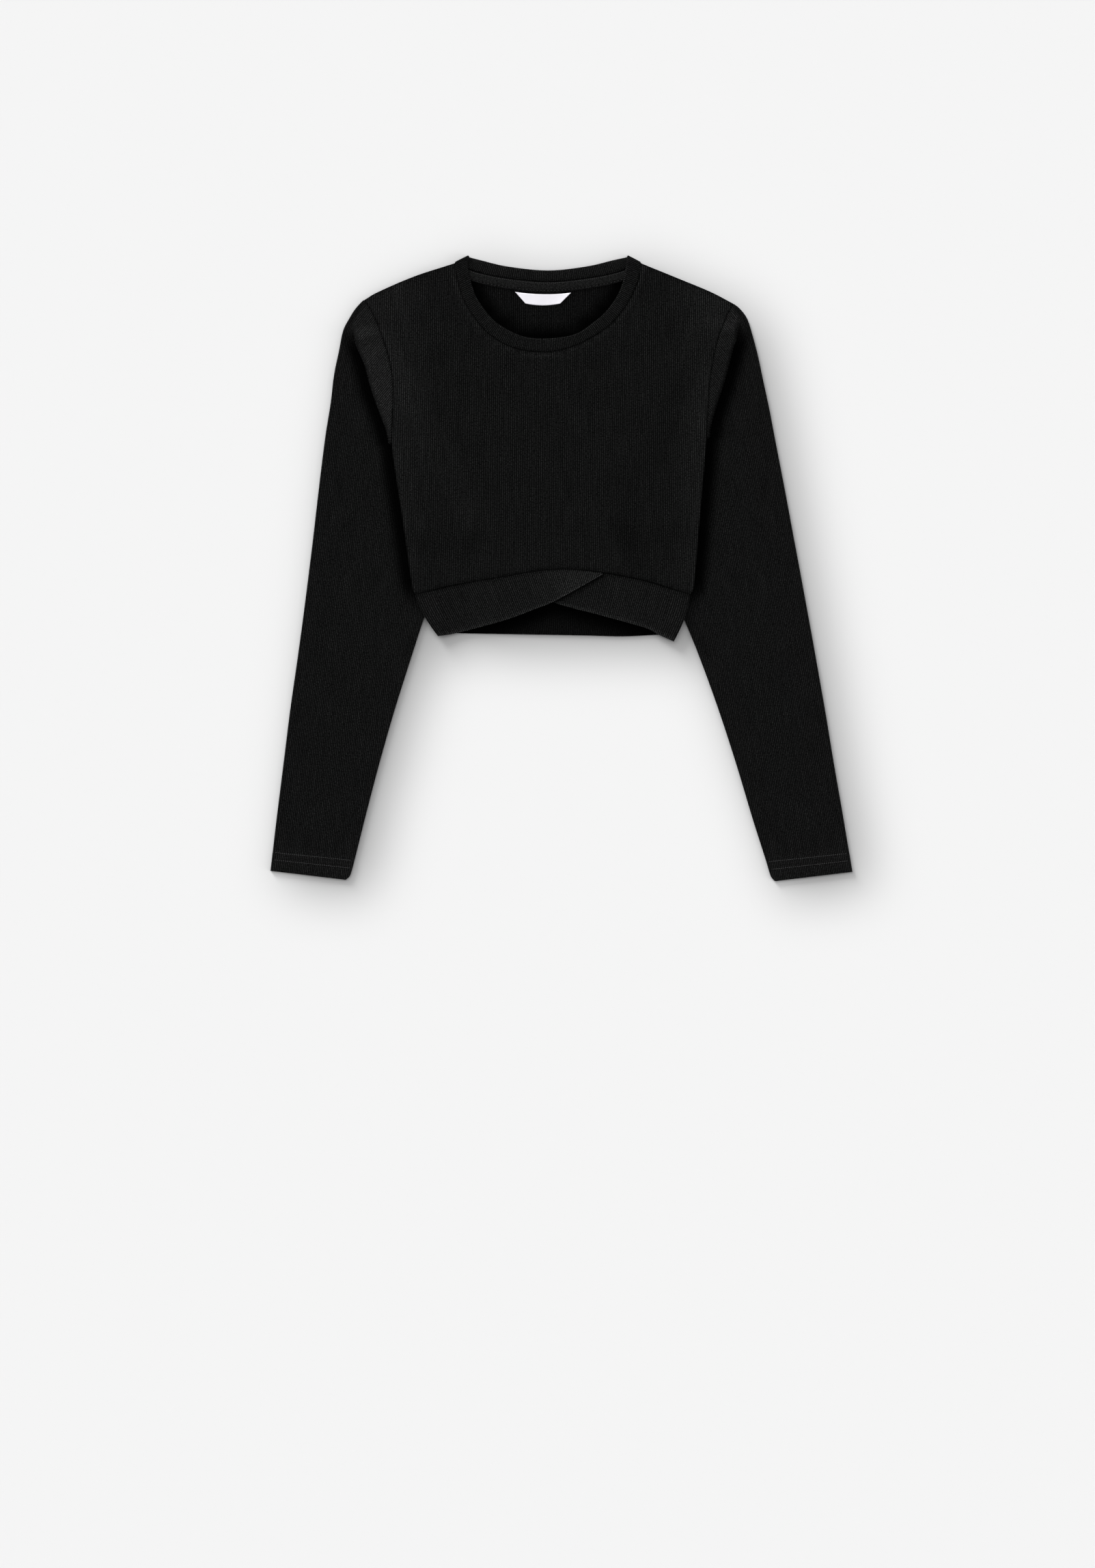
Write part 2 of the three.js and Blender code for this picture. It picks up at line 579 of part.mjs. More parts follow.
// The tape along the back neck seam and the label that hangs from it, on the inside of the back.
function backNeck() {
  const seam = [...NECK_SEAM_BACK].reverse();
  const [from, to] = TAPE_ENDS;
  const xs = Array.from({ length: TAPE_STEPS + 1 }, (_, k) => mix(from, to, k / TAPE_STEPS));
  const row = (drop) => xs.map((x) => new THREE.Vector2(x, along(seam, x) - drop));
  const tapeGrid = [row(TAPE_START), row(TAPE_START + TAPE_WIDTH)];
  const labelGrid = [[LABEL_TOP, LABEL_SPAN[0]], [LABEL_FOOT, LABEL_SPAN[1]]].map(([ends, y]) => {
    return [0, 0.25, 0.5, 0.75, 1].map((t) => new THREE.Vector2(mix(ends[0], ends[1], t), y));
  });
  const inside = () => JERSEY + AIR;
  return [
    panel('neck_tape', tapeGrid, inside, TAPE, COLOURS.inside),
    panel('label', labelGrid, inside, LABEL, COLOURS.label),
  ];
}

const top = new THREE.Group();
top.add(panel('front_panel', bodyGrid(WAIST_FRONT, NECK_SEAM_FRONT), frontBase, JERSEY, COLOURS.rib));
const backGrid = bodyGrid(WAIST_BACK, [...NECK_SEAM_BACK].reverse());
top.add(panel('back_panel', backGrid, drape, JERSEY, COLOURS.rib, false));
SLEEVES.forEach((spec) => top.add(sleeve(spec)));
top.add(...waistbands(), neckband(), ...backNeck());

export default top;
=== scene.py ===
"""A cropped, long-sleeved top in black fine-rib knit, laid flat and seen from straight above.

Sizes and tables are in millimetres, as a cutter writes them, and each mesh is made in metres.
X runs to the viewer's right, Y towards the collar and Z up. Left and right are the viewer's.
"""

import math
from types import SimpleNamespace

import bpy
import numpy as np
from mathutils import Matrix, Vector


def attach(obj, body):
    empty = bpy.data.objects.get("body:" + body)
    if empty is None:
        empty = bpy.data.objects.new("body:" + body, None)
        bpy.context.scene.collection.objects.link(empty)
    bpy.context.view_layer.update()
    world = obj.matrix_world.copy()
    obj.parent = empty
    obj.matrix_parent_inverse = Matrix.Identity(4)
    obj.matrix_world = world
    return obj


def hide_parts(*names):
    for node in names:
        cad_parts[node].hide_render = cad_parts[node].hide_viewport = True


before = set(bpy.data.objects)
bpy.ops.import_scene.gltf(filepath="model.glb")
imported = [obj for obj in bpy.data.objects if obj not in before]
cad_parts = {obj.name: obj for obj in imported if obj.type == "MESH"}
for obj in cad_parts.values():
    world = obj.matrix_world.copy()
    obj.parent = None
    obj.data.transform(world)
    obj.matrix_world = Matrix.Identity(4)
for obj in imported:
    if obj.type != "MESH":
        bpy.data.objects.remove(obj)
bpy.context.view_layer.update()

MM = 0.001

# Cloth, as in the solids
JERSEY = 1.0
BAND = 1.6
NECK_RIB = 1.8
TAPE = 0.8
LABEL = 0.7
SEAM = 0.3
AIR = 0.3
LAYER_AIR = 0.5
CROWN = 1.0
CROWN_RUN = 28
LEVEL = 2 * JERSEY + LAYER_AIR + AIR
HALF_LEVEL = JERSEY + LAYER_AIR / 2
TURN = LEVEL / 2
TURN_REACH = TURN + HALF_LEVEL
FOLD_RUN = 22
KNEE_RUN = 12
UNDERARM_STEP = 5
SHORTEST = 1.0
DRAPE_RUN = 36
DRAPE_LEAD = 7
STEP_RUN = 34
FLAT = 0.01
HEM = 19
HEM_THICKER = 0.3
DROP_FROM = -190

# Body outline, from the waist seam up
SIDE_LEFT = [
    # Y, D: depth out from X = 0
    (-27, 150), (-24, 152), (50, 162.7), (124, 173.4), (150, 173), (181, 172.3),
    (205, 174.3), (224, 179), (243, 185.5), (261, 193), (275, 201.6),
]
SIDE_RIGHT = [
    # Y, D
    (-27, 132), (-23, 135), (55, 141.8), (132, 148.4), (162, 149.8), (187, 151.2),
    (212, 154.7), (233, 159.6), (251, 166), (263, 171), (271, 176),
]
SHOULDER_LEFT = [
    # X, Y
    (-201.6, 275), (-190, 282), (-152, 298.5), (-109, 312.5),
]
SHOULDER_RIGHT = [
    # X, Y
    (81, 312.5), (115.5, 298.5), (153, 283), (176, 271),
]
NECK_SEAM_FRONT = [
    # X, Y
    (-109, 312.5), (-107, 299), (-101.5, 279), (-93, 263), (-78.5, 244), (-59.5, 230.5), (-38.5, 223.5),
    (-14, 222), (7, 226), (27.5, 235), (47.5, 248), (62.5, 264.5), (74, 284), (80, 301), (81, 312.5),
]
NECK_EDGE_FRONT = [
    # X, Y
    (-94.5, 319), (-96, 309), (-93, 295), (-87, 277.5), (-73.5, 258.5), (-59.5, 247), (-38.5, 237.5),
    (-14, 235.5), (14, 240), (33.5, 252.5), (47.5, 265.5), (59.5, 284), (65, 304), (67, 319),
]
NECK_SEAM_BACK = [
    # X, Y
    (81, 312.5), (56, 303.5), (25, 297.5), (-14, 294), (-55, 297.5), (-85, 303.5), (-109, 312.5),
]
NECK_EDGE_BACK = [
    # X, Y
    (67, 319), (53, 316), (25, 309.5), (-14, 305.5), (-55, 309.5), (-83, 316), (-94.5, 319),
]
WAIST_FRONT = [
    # X, Y
    (-150, -27), (-110, -17), (-61, -9), (-27, -3), (6, -1), (44, -4.5), (85, -12.5), (132, -27),
]
WAIST_BACK = [
    # X, Y
    (-150, -27), (-10, -26), (132, -27),
]
OVER_END = 42
UNDER_END = -64
OVER_HEM = [
    # X, Y
    (-126.5, -69.5), (-106.5, -66), (-58, -53), (-27, -41.5), (-9, -34.5), (17.5, -20), (OVER_END, -6.2),
]
UNDER_HEM = [
    # X, Y
    (115, -75), (98.5, -67.5), (84.5, -60.5), (40, -48), (-9, -34.5), (UNDER_END, -11.5),
]
BACK_HEM = [
    # X, Y
    (-126.5, -66), (17.5, -68.5), (62, -69.5), (99, -68), (113, -69),
]
BAND_BULGE = 2.6
BAND_BULGE_SHARE = 0.125
OVER_RISE = (-104, -68)
TAPE_ENDS = (-97, 69)
TAPE_WIDTH = 10
TAPE_START = 0.9

# Sleeves. Their tables run down the sleeve: Y, D.
LEFT_SLEEVE = SimpleNamespace(
    name="sleeve_left", side=-1, armhole=SIDE_LEFT, top=273, pleat_top=250, underarm=128,
    # The last number is the painted highlight on this sleeve's cap
    valley_slope=0.508, cuff_drop=9, cap_highlight=1.95,
    outer=[
        (277, 201), (267, 210.5), (257, 217), (244.5, 223.5), (223, 228), (199, 233), (170, 236.5),
        (135, 242), (79, 249), (23, 255.5), (-33, 262.5), (-89, 270), (-145, 278), (-201, 285),
        (-257, 292), (-310, 298.2),
    ],
    ridge=[
        (250, 217), (238, 213), (211, 203), (183, 195.3), (156, 185.5), (138, 179), (126, 177),
    ],
    inner=[
        (-52, 141.4), (-89, 153.3), (-145, 171), (-201, 187), (-257, 201.6), (-301, 212.6),
        (-312, 215.6), (-316, 217.4), (-319, 221),
    ],
)
RIGHT_SLEEVE = SimpleNamespace(
    name="sleeve_right", side=1, armhole=SIDE_RIGHT, top=269, pleat_top=256, underarm=134,
    # The last number is the painted highlight on this sleeve's cap
    valley_slope=0.47, cuff_drop=9.4, cap_highlight=1.3,
    outer=[
        (273.5, 173.5), (267, 182), (257, 189.7), (240.5, 195.3), (219, 201), (191, 207), (163, 213),
        (135, 218.4), (79, 229.2), (23, 239.6), (-33, 250), (-89, 260.2), (-145, 270), (-201, 279.3),
        (-257, 289), (-311, 298.1),
    ],
    ridge=[
        (256, 184), (246, 182), (222, 175.7), (199, 169.8), (181, 164.2), (162, 158), (144, 153), (132, 152),
    ],
    inner=[
        (-51, 125.3), (-89, 140.7), (-145, 161), (-201, 179.2), (-257, 196), (-301, 210), (-312, 213.2),
        (-317, 215.3), (-320.4, 219),
    ],
)

# Knit
BODY_PITCH = 1.9  # from rib to rib
SLEEVE_PITCH = 1.82
BAND_PITCH = 2.0
PER_RIB = 3  # mesh columns to a rib
BODY_CENTRE = -13
BODY_FAN = 0.00015  # how much the ribs spread, for each millimetre up the body
FAN_LEVEL = 120
CAP_SLANT = 50  # degrees, from level, of the ribs on the sleeve caps
RIB_RISE = 0.09  # half of a rib's height
WANDER = 0.8  # how far a rib strays to either side of its line
HEM_RIB_RISE = 0.22

# Cut and folded edges
EDGE = 0.8
JERSEY_ROUND = 0.5
ROUND_SHARE = 0.85
LAP = 0.25  # how far a seam's edges push into each other
TOP_REACH = 1.8  # how far a sleeve's cap closes up past its highest row, to the shoulder's tip

# Camera, straight above. The picture's long side covers FRAME_LONG on the surface.
CAMERA_PLACE = (-14.35, -220.85)
FRAME_LONG = 1607.2
LENS = 135
SENSOR = 36
PHOTO_ASPECT = 1603 / 2296

# Body grids
BODY_HALF_WIDTH = 190
STEEPEST = 7
SETTLING = 6
FRONT_ROW = 6
BACK_ROW = 14
END_LEVELS = [
    # lowest and highest level of each side
    (SIDE_LEFT[0][0], SIDE_LEFT[-1][0]), (SIDE_RIGHT[0][0], SIDE_RIGHT[-1][0]),
]

# Sleeve and band grids
UNDER_COLUMNS = 22
ROLL_STEPS = 5
BAND_ROWS = 12
BAND_EDGE_SHARE = 0.3  # the most of a band's width that its edge rows take up
BAND_ROUND_SHARE = 0.46  # the most of a band's thickness that its edges lose on one side
BAND_WANDER = 0.7
HEM_STEP = 0.4
FRONT_NECK_RIBS = 150
BACK_NECK_RIBS = 98
NECK_TURN_STEPS = 12
NECK_END_SHARE = 0.16
NECK_ACROSS = 0.85  # how squarely the neckband's ribs cross it

# The neckband's section, from the seam over the top to the inner edge, and back beneath
NECK_SECTION_TOP = [
    # share of the width from the seam, share of half the thickness
    (0, 0.3), (0.02, 0.72), (0.06, 1), (0.2, 1.04), (0.35, 1.06), (0.5, 1.06), (0.65, 1.04), (0.8, 1),
]
NECK_SECTION_UNDER = [
    # share of the width from the seam, share of half the thickness
    (0.7, -1), (0.5, -1), (0.3, -1), (0.06, -1), (0, -0.5),
]
NECK_EDGE_SHARE = 0.07
NECKBAND_WIDTH = 13
NECK_SCALLOP = 0.12
NECK_SEAM_LAG = 0.35  # how far the seam swings out where the band turns over, beside its edge

# Soft swellings beside seams and hems
NECK_PUFF = (0.55, 2.6)  # height, width
WAIST_PUFF = (0.4, 2.4)
ARMHOLE_PUFF = (0.45, 2.6)
CUFF_PUFF = (0.12, 1)
BAND_PUFF = (0.15, 1.6)
TAPE_PUFF = (0.15, 3)

# Where stitches draw the cloth in
CUFF_GROOVE = (0.22, 0.7)  # depth, width
TAPE_GROOVE = (0.24, 0.7)
TAPE_PUCKER = (0.16, 1.6)
HEM_SCALLOP = (0.14, 0.7)

# Soft folds and unevenness
UNEVEN = 0.22
BAND_UNEVEN = 0.12
FRONT_CREASES = [
    # line of X, Y, then width, height and the trough's share
    ([(-99, 248), (-106, 195), (-110, 140), (-108, 100)], 6, 0.55, 0.9),
    ([(-84, 120), (-88, 75), (-85, 20)], 7, 0.45, 0.8),
    ([(36, 212), (41, 156), (52, 100), (66, 50), (75, 5)], 7, 0.5, 0.8),
    ([(24, 205), (22, 150), (30, 95)], 9, 0.4, 0.8),
    ([(-138, 235), (-133, 170), (-140, 110), (-133, 55)], 11, 0.5, 0.6),
    ([(118, 225), (112, 160), (118, 95), (110, 30)], 11, 0.5, -0.6),
    ([(-55, 200), (-48, 140), (-52, 80)], 12, 0.35, 0.7),
    ([(-150, 128), (-118, 118), (-86, 122)], 8, 0.4, 0.7),
    ([(134, 130), (104, 118), (76, 124)], 8, 0.4, 0.7),
    ([(-30, 60), (20, 52), (60, 66)], 12, 0.3, 0.7),
]
LEFT_SLEEVE.creases = [
    # line of X, Y, then width, height and the trough's share
    ([(-190, -200), (-215, -192), (-250, -196)], 6, 0.5, 0.9),
    ([(-205, -160), (-228, -172), (-262, -168)], 8, 0.35, 0.8),
    ([(-196, -248), (-222, -238), (-262, -246)], 9, 0.4, 0.7),
    ([(-236, 40), (-246, -20), (-254, -80), (-268, -140)], 8, 0.35, 0.8),
    ([(-205, 150), (-212, 90), (-218, 30)], 10, 0.35, 0.8),
    ([(-180, -60), (-205, -90), (-232, -130)], 9, 0.3, 0.8),
]
RIGHT_SLEEVE.creases = [
    # line of X, Y, then width, height and the trough's share
    ([(198, 40), (206, -8), (212, -55), (224, -95)], 6, 0.5, 0.9),
    ([(206, -212), (232, -222), (262, -240)], 8, 0.5, 0.8),
    ([(200, -175), (226, -168), (262, -180)], 9, 0.35, 0.8),
    ([(232, -235), (262, -262), (282, -290)], 8, 0.3, 0.8),
    ([(196, 160), (206, 100), (218, 40)], 10, 0.35, 0.8),
    ([(168, -70), (196, -105), (226, -140)], 9, 0.3, 0.8),
]

# Stitching
STITCH_HIGH = 19
STITCH_LOW = 11.5
CUFF_STITCH = 2.1
TAPE_STITCH = 3.6
TAPE_STITCH_ROW = 8.4
ZIGZAG = 2.1
ZIGZAG_ROW = 0.9
ZIGZAG_LEAN = 0.9
ROW_ENDS = 1.5  # bare length at each end of a cuff's rows
TAPE_ROW_ENDS = 4
ZIGZAG_ENDS = 5
CUFF_STITCH_SIZE = (0.74 * CUFF_STITCH, 0.26)  # length, radius
TAPE_STITCH_SIZE = (1.9, 0.24)
STITCH_PROUD = 0.02
TAPE_STITCH_SUNK = 0.08
STITCH_RINGS = [
    # share of half the length, share of the radius
    (-1, 0.05), (-0.8, 0.6), (-0.3, 1), (0.3, 1), (0.8, 0.6), (1, 0.05),
]
STITCH_SIDES = 6
STITCH_ARCH = 0.35

# Label
LABEL_TOP = (-47.6, 9.8)
LABEL_FOOT = (-37, -1.4)
LABEL_SPAN = (283, 269.6)
LABEL_DIP = 2.0
LABEL_BULGE = 1.9
LABEL_TILT = 0.4
LABEL_BODY = 0.7  # the share of its thickness that isn't curl
LABEL_CURL = 0.35
LABEL_WAVE = 0.18

# Shade of the cloth, as the share of light that it gives back
# DARK and LIGHT bound the knit's colour, whose ribs and loops are painted darker in the grooves as shade and
# lighter on their backs as highlight
DARK = 0.0007
LIGHT = 0.0121
CLOTH_SPECULAR = 0.012
CLOTH_SHEEN = 0.004
THREAD_DARK = 0.02
THREAD_LIGHT = 0.05
TAPE_THREAD_SHARE = 0.45

# Depth of painted shade in the creases where layers meet: its least share, its full width, and where it ends
SIDE_SHADE = (0.07, 5, 19)
NECK_SHADE = (0.03, 4, 18)
HEM_SHADE = (0.04, 3, 24)
CROSSING_SHADE = (0.2, 0.8, 4)
SEAM_SHADE = (0.35, 0.3, 1.3)
TAPE_STITCH_SHADE = (0.4, 0.2, 1.2)

# Tone of the cloth, as a factor on the light that it gives back; much of it is painted light and shade
# Painted highlights: the front panel is lighter towards its sides and along the puff beside the neck seam
FRONT_SIDES = (-173, 151)
FRONT_SIDE_HIGHLIGHT = 0.42
FRONT_SIDE_RUN = 45
FRONT_NECK_HIGHLIGHT = 0.4
SLOPE_STEP = 2.0
SLOPE_RANGE = (-0.1, 0.2)
SLOPE_TONE = 1.3  # how much a slope that faces the low light is toned down
# Painted shade on the back panel, which lies under the front
BACK_PAINTED_SHADE = 0.68
# Painted shade on the sleeves' undersides
UNDERSIDE_PAINTED_SHADE = 0.8
CUFF_TONE = 1.18
# Painted highlight on the sleeve caps, lighter at the top, and painted shade where the pleat closes
CAP_TOP_HIGHLIGHT = 1.65
CAP_HIGHLIGHT_RUN = 50
CAP_CLOSING_SHADE = 0.08
BAND_TONE = 1.2
# Painted highlight along a band's folded hem
BAND_HEM_HIGHLIGHT = 4.5
BAND_HEM_RUN = 1.3
# Painted shade on the inside of the back band, under the front bands' arch
BAND_INSIDE_SHADE = 0.55
OVER_TIP_TONE = 1.6
NECKBAND_TOP_TONE = 1.0
NECKBAND_UNDER_TONE = 1.15
# Painted highlight along the neckband's folded inner edge
NECKBAND_EDGE_HIGHLIGHT = 0.25
TAPE_TONE = 1.6

# Look of the knit. Each range is what a pattern's 0 to 1 is spread over.
CLOTH_TINT = (0.995, 1.01, 1)
RIB_SHARE = 0.85
RIB_POWER = 1.2
RIB_WOBBLE = 0.35
LOOP_LENGTH = 1.5
LOOP_DRIFT = 3.0
LOOP_RANGE = (0.62, 1.08)
STREAK_STRETCH = 0.03
STREAK_RANGE = (0.3, 1.7)
FIBRE_NOISE = (0.7, 4, 0.85)  # scale, detail, roughness
FIBRE_RANGE = (-3.8, 5.9)
FIBRE_LEAST = 0.03
FIBRE_HEIGHT = 0.5
MOTTLE_NOISE = (0.035, 3)
MOTTLE_RANGE = (0.84, 1.16)
ROUGHNESS_RANGE = (0.82, 1.0)
CLOTH_BUMP = (0.6, 0.3)  # strength, distance
LOOP_HEIGHTS = (0.75, 1)
SHEEN_TINT = (0.5, 0.5, 0.52, 1)
TAPE_PITCH = 1.1
TAPE_RIB_SHARE = 0.35

# Look of the label
LABEL_COLOUR = (0.87, 0.85, 0.90)
LABEL_BUMP = (0.25, 0.08)
WEAVE_RANGE = (0.86, 1)
CLOUDY_RANGE = (0.92, 1.06)

# Studio
FLOOR_HALF = 6000
FLOOR_ALBEDO = 0.8
SKY = 0.31
SOFT_LIGHTS = [
    # name, azimuth, elevation, width in degrees, strength
    ("low_upper_left", 125, 14, 20, 4.1),
    ("high_upper_left", 120, 50, 60, 1.15),
    ("low_right", -20, 16, 24, 0.9),
    ("high_right", 20, 55, 60, 0.6),
]

# The soft shadow that the photo shows on the floor, wider than the lights here would cast it
SHADOW_CELL = 6
SHADOW_REACH = (480, 510)
SHADOW_SHIFT = (17, -14)
SHADOW_BLUR = 24
SHADOW_DEPTH = 0.58


def mix(a, b, t):
    return a + (b - a) * t


def ease(t):
    t = np.clip(t, 0, 1)
    return t * t * (3 - 2 * t)


def along(table, key):
    """The value in a table at each key, smoothly through its rows, and straight on past its ends."""
    keys, values = np.array(sorted(table), float).T
    key = np.asarray(key, float)
    last = len(keys) - 1
    i = np.clip(np.searchsorted(keys, key, side="left") - 1, 0, last - 1)
    before = np.maximum(i - 1, 0)
    after = np.minimum(i + 2, last)
    span = keys[i + 1] - keys[i]
    t = (key - keys[i]) / span
    p, q = values[i], values[i + 1]
    start = (q - values[before]) / (keys[i + 1] - keys[before]) * span
    end = (values[after] - p) / (keys[after] - keys[i]) * span
    curve = p + start * t + (3 * (q - p) - 2 * start - end) * t**2 + (2 * (p - q) + start + end) * t**3
    return np.where((t < 0) | (t > 1), p + (q - p) * t, curve)


def smooth(rows, shares):
    """Points at shares of the length of a smooth curve through [x, y] rows."""
    p = np.array(rows, float)
    padded = np.vstack([p[:1], p, p[-1:]])
    t = np.linspace(0, 1, 40, endpoint=False)[:, None]
    pieces = []
    for k in range(len(p) - 1):
        a, b, c, d = padded[k:k + 4]
        slope_b = (c - a) / 2
        slope_c = (d - b) / 2
        pieces.append(b + slope_b * t + (3 * (c - b) - 2 * slope_b - slope_c) * t**2
                      + (2 * (b - c) + slope_b + slope_c) * t**3)
    fine = np.vstack([*pieces, p[-1:]])
    lengths = np.concatenate([[0], np.cumsum(np.linalg.norm(np.diff(fine, axis=0), axis=1))])
    wanted = np.asarray(shares) * lengths[-1]
    return np.stack([np.interp(wanted, lengths, fine[:, k]) for k in (0, 1)], axis=1)


def bell(distance, width):
    """A smooth bump, 1 at no distance."""
    return np.exp(-((distance / width) ** 2))


def curve_length(rows):
    points = smooth(rows, np.linspace(0, 1, 200))
    return np.linalg.norm(np.diff(points, axis=0), axis=1).sum()


def offset_curve(points, distance):
    """A curve moved sideways, to the left of its direction."""
    way = np.gradient(points, axis=0)
    way /= np.linalg.norm(way, axis=1)[:, None]
    return points + distance * np.stack([-way[:, 1], way[:, 0]], axis=1)


def nearest(points, x, y):
    """Distance from each place to a line of points, the side that it lies on, and the share along it."""
    a, b = points[:-1], points[1:]
    best = np.full(np.shape(x), np.inf)
    side = np.zeros(np.shape(x))
    share = np.zeros(np.shape(x))
    for k, ((ax, ay), (bx, by)) in enumerate(zip(a, b)):
        dx, dy = bx - ax, by - ay
        t = np.clip(((x - ax) * dx + (y - ay) * dy) / (dx * dx + dy * dy), 0, 1)
        distance = np.hypot(x - ax - t * dx, y - ay - t * dy)
        closer = distance < best
        best = np.where(closer, distance, best)
        side = np.where(closer, np.sign(dx * (y - ay) - dy * (x - ax)), side)
        share = np.where(closer, (k + t) / len(a), share)
    return best, side, share


def from_line(rows, x, y, count=40):
    """Distance from each place to a smooth curve through [x, y] rows."""
    return nearest(smooth(rows, np.linspace(0, 1, count)), x, y)[0]


def inner_start(sleeve):
    """The top row of a sleeve's inner edge, and the slope there."""
    (top, depth), second = sleeve.inner[:2]
    return top, depth, (second[1] - depth) / (top - second[0])


def inner_at(sleeve, y):
    """Depth of the sleeve's inner edge, straight on above its table, where the body hides it."""
    top, depth, slope = inner_start(sleeve)
    return np.where(y > top, depth - slope * (y - top), along(sleeve.inner, y))


def pleat_at(sleeve, y):
    """The sleeve's pleat at each height: where it folds, how far each fold turns and what it adds."""
    top, depth, inner_slope = inner_start(sleeve)
    inner_line = depth + inner_slope * top
    valley_line = sleeve.ridge[0][1] - sleeve.valley_slope * sleeve.pleat_top
    knee = (inner_line - valley_line) / (sleeve.valley_slope + inner_slope)
    valley = valley_line + sleeve.valley_slope * y
    armhole = along(sleeve.armhole, y) + SEAM / 2
    ridge = np.maximum(along(sleeve.ridge, y), armhole + TURN_REACH + SHORTEST)
    capped = y > sleeve.underarm
    seam_top = along(sleeve.armhole, sleeve.underarm) + SEAM
    seam_share = np.clip((y - knee) / (sleeve.underarm - UNDERARM_STEP - knee), 0, 1)
    seam = mix(inner_line - inner_slope * knee, seam_top, seam_share)
    closing = ease((sleeve.pleat_top - y) / FOLD_RUN)
    angle = math.pi * np.minimum(closing, ease((y - knee) / KNEE_RUN))
    turn = math.pi * TURN * (0.5 + angle / math.pi / 2)
    middle = np.maximum(SHORTEST, np.where(capped, ridge - TURN_REACH, seam) - valley - TURN_REACH)
    radius = turn / np.maximum(angle, FLAT)
    advance = np.where(angle > FLAT, radius * np.sin(angle), turn)
    half = advance + middle / 2 * np.cos(angle)
    outer = along(sleeve.outer, y) - HALF_LEVEL
    centre = np.minimum((ridge + valley) / 2, outer - SHORTEST / 2 - half)
    rise = 2 * radius * (1 - np.cos(angle)) + middle * np.sin(angle)
    return SimpleNamespace(
        knee=knee, valley=valley, armhole=armhole, capped=capped, angle=angle, turn=turn, middle=middle,
        radius=radius, advance=advance, half=half, outer=outer, centre=centre, rise=rise,
    )


def drape_over(sleeve, x, y):
    pleat = pleat_at(sleeve, y)
    sinking = mix(LEVEL, 2 * LEVEL, ease(1 - (pleat.knee - y) / STEP_RUN))
    level = np.where(pleat.capped, pleat.rise, sinking)
    edge = np.where(y > pleat.knee, pleat.valley, inner_at(sleeve, y))
    start = np.where(pleat.capped, np.minimum(edge, pleat.centre - pleat.half), edge) - DRAPE_LEAD
    lifted = level * ease((np.abs(x) - start + DRAPE_RUN) / DRAPE_RUN)
    return np.where(y >= sleeve.pleat_top, 0, lifted)


def drape(x, y):
    """Height of the lowest layer of the body or cap above the surface."""
    return np.where(x < 0, drape_over(LEFT_SLEEVE, x, y), drape_over(RIGHT_SLEEVE, x, y))


def front_base(x, y):
    """Underside of the front panel above the surface."""
    left_of_neck, right_of_neck = SHOULDER_LEFT[-1], SHOULDER_RIGHT[0]
    side = np.where(x < 0, along(SIDE_LEFT, y), along(SIDE_RIGHT, y)) - np.abs(x)
    left = x < right_of_neck[0]
    shoulder = np.where(left, along(SHOULDER_LEFT, x), along(SHOULDER_RIGHT, x))
    under_neck = left & (x > left_of_neck[0])
    below = np.where(under_neck, CROWN_RUN, shoulder - y)
    corner_x = np.where(left, left_of_neck[0], right_of_neck[0])
    near_neck = 1 - np.hypot(x - corner_x, y - left_of_neck[1]) / (2 * CROWN_RUN)
    crown = CROWN * ease(side / CROWN_RUN) * np.maximum(ease(below / CROWN_RUN), ease(2 * near_neck))
    over_band = (BAND - JERSEY) * ease(1 - (y - along(WAIST_FRONT, x)) / CROWN_RUN)
    return drape(x, y) + JERSEY + LAYER_AIR + crown + over_band


def rounding(distance, radius):
    """How far a rounded edge has dropped, at a distance in from it."""
    inside = np.clip(distance, 0, radius)
    return ROUND_SHARE * (radius - np.sqrt(np.maximum(0, radius**2 - (radius - inside) ** 2)))


def rib_wave(u, pitch):
    return np.cos(2 * math.pi * u / pitch)


def uneven(x, y, seed):
    """A soft unevenness from -1 to 1, made of a few waves that don't repeat together."""
    waves = [
        # length, direction in degrees, share
        (61, 20, 0.34), (43, 75, 0.26), (97, 130, 0.24), (29, 160, 0.16),
    ]
    total = 0 * x + 0 * y
    for k, (length, direction, share) in enumerate(waves):
        turn = math.radians(direction + 31 * seed)
        way = x * math.cos(turn) + y * math.sin(turn)
        total = total + share * np.sin(2 * math.pi * way / length + 1.7 * seed + k)
    return total


def wander(x, y, seed):
    """How far the ribs stray sideways. It changes more quickly across the ribs than along them."""
    return WANDER * (0.6 * uneven(1.3 * x, 0.5 * y, seed) + 0.4 * uneven(2.1 * x, 0.9 * y, seed + 2))


def creases(table, x, y):
    """Height that soft folds add, each a ridge with a trough beside it."""
    total = np.zeros(np.shape(x))
    for line, width, height, trough in table:
        points = smooth(line, np.linspace(0, 1, 14))
        distance, side, share = nearest(points, x, y)
        ends = np.clip(1 - np.maximum(0, distance - 2 * width) / width, 0, 1)
        fade = np.sin(math.pi * np.clip(share, 0, 1)) ** 0.7 * ends
        ridge = bell(distance, width)
        beside = bell(distance * side - 1.5 * width, 1.2 * width)
        wobble = 1 + 0.35 * np.sin(9 * share + 5 * len(line) + width)
        total += height * fade * wobble * (ridge - trough * beside)
    return total


def weld(keys):
    """For each row of numbers, the index of the first row like it."""
    _, first, same = np.unique(np.round(keys, 3), axis=0, return_index=True, return_inverse=True)
    return first[np.ravel(same)]


def new_object(name, data):
    made = bpy.data.objects.new(name, data)
    bpy.context.scene.collection.objects.link(made)
    return made


def new_mesh(name, points, faces, attribute, values):
    """A mesh object in metres from points in millimetres, with a number or a vector at each point."""
    mesh = bpy.data.meshes.new(name)
    mesh.from_pydata((points * MM).tolist(), [], faces)
    mesh.update()
    kind, key = ("FLOAT_VECTOR", "vector") if values.ndim > 1 else ("FLOAT", "value")
    layer = mesh.attributes.new(attribute, kind, "POINT")
    layer.data.foreach_set(key, np.ascontiguousarray(values, np.float32).ravel())
    return new_object(name, mesh)


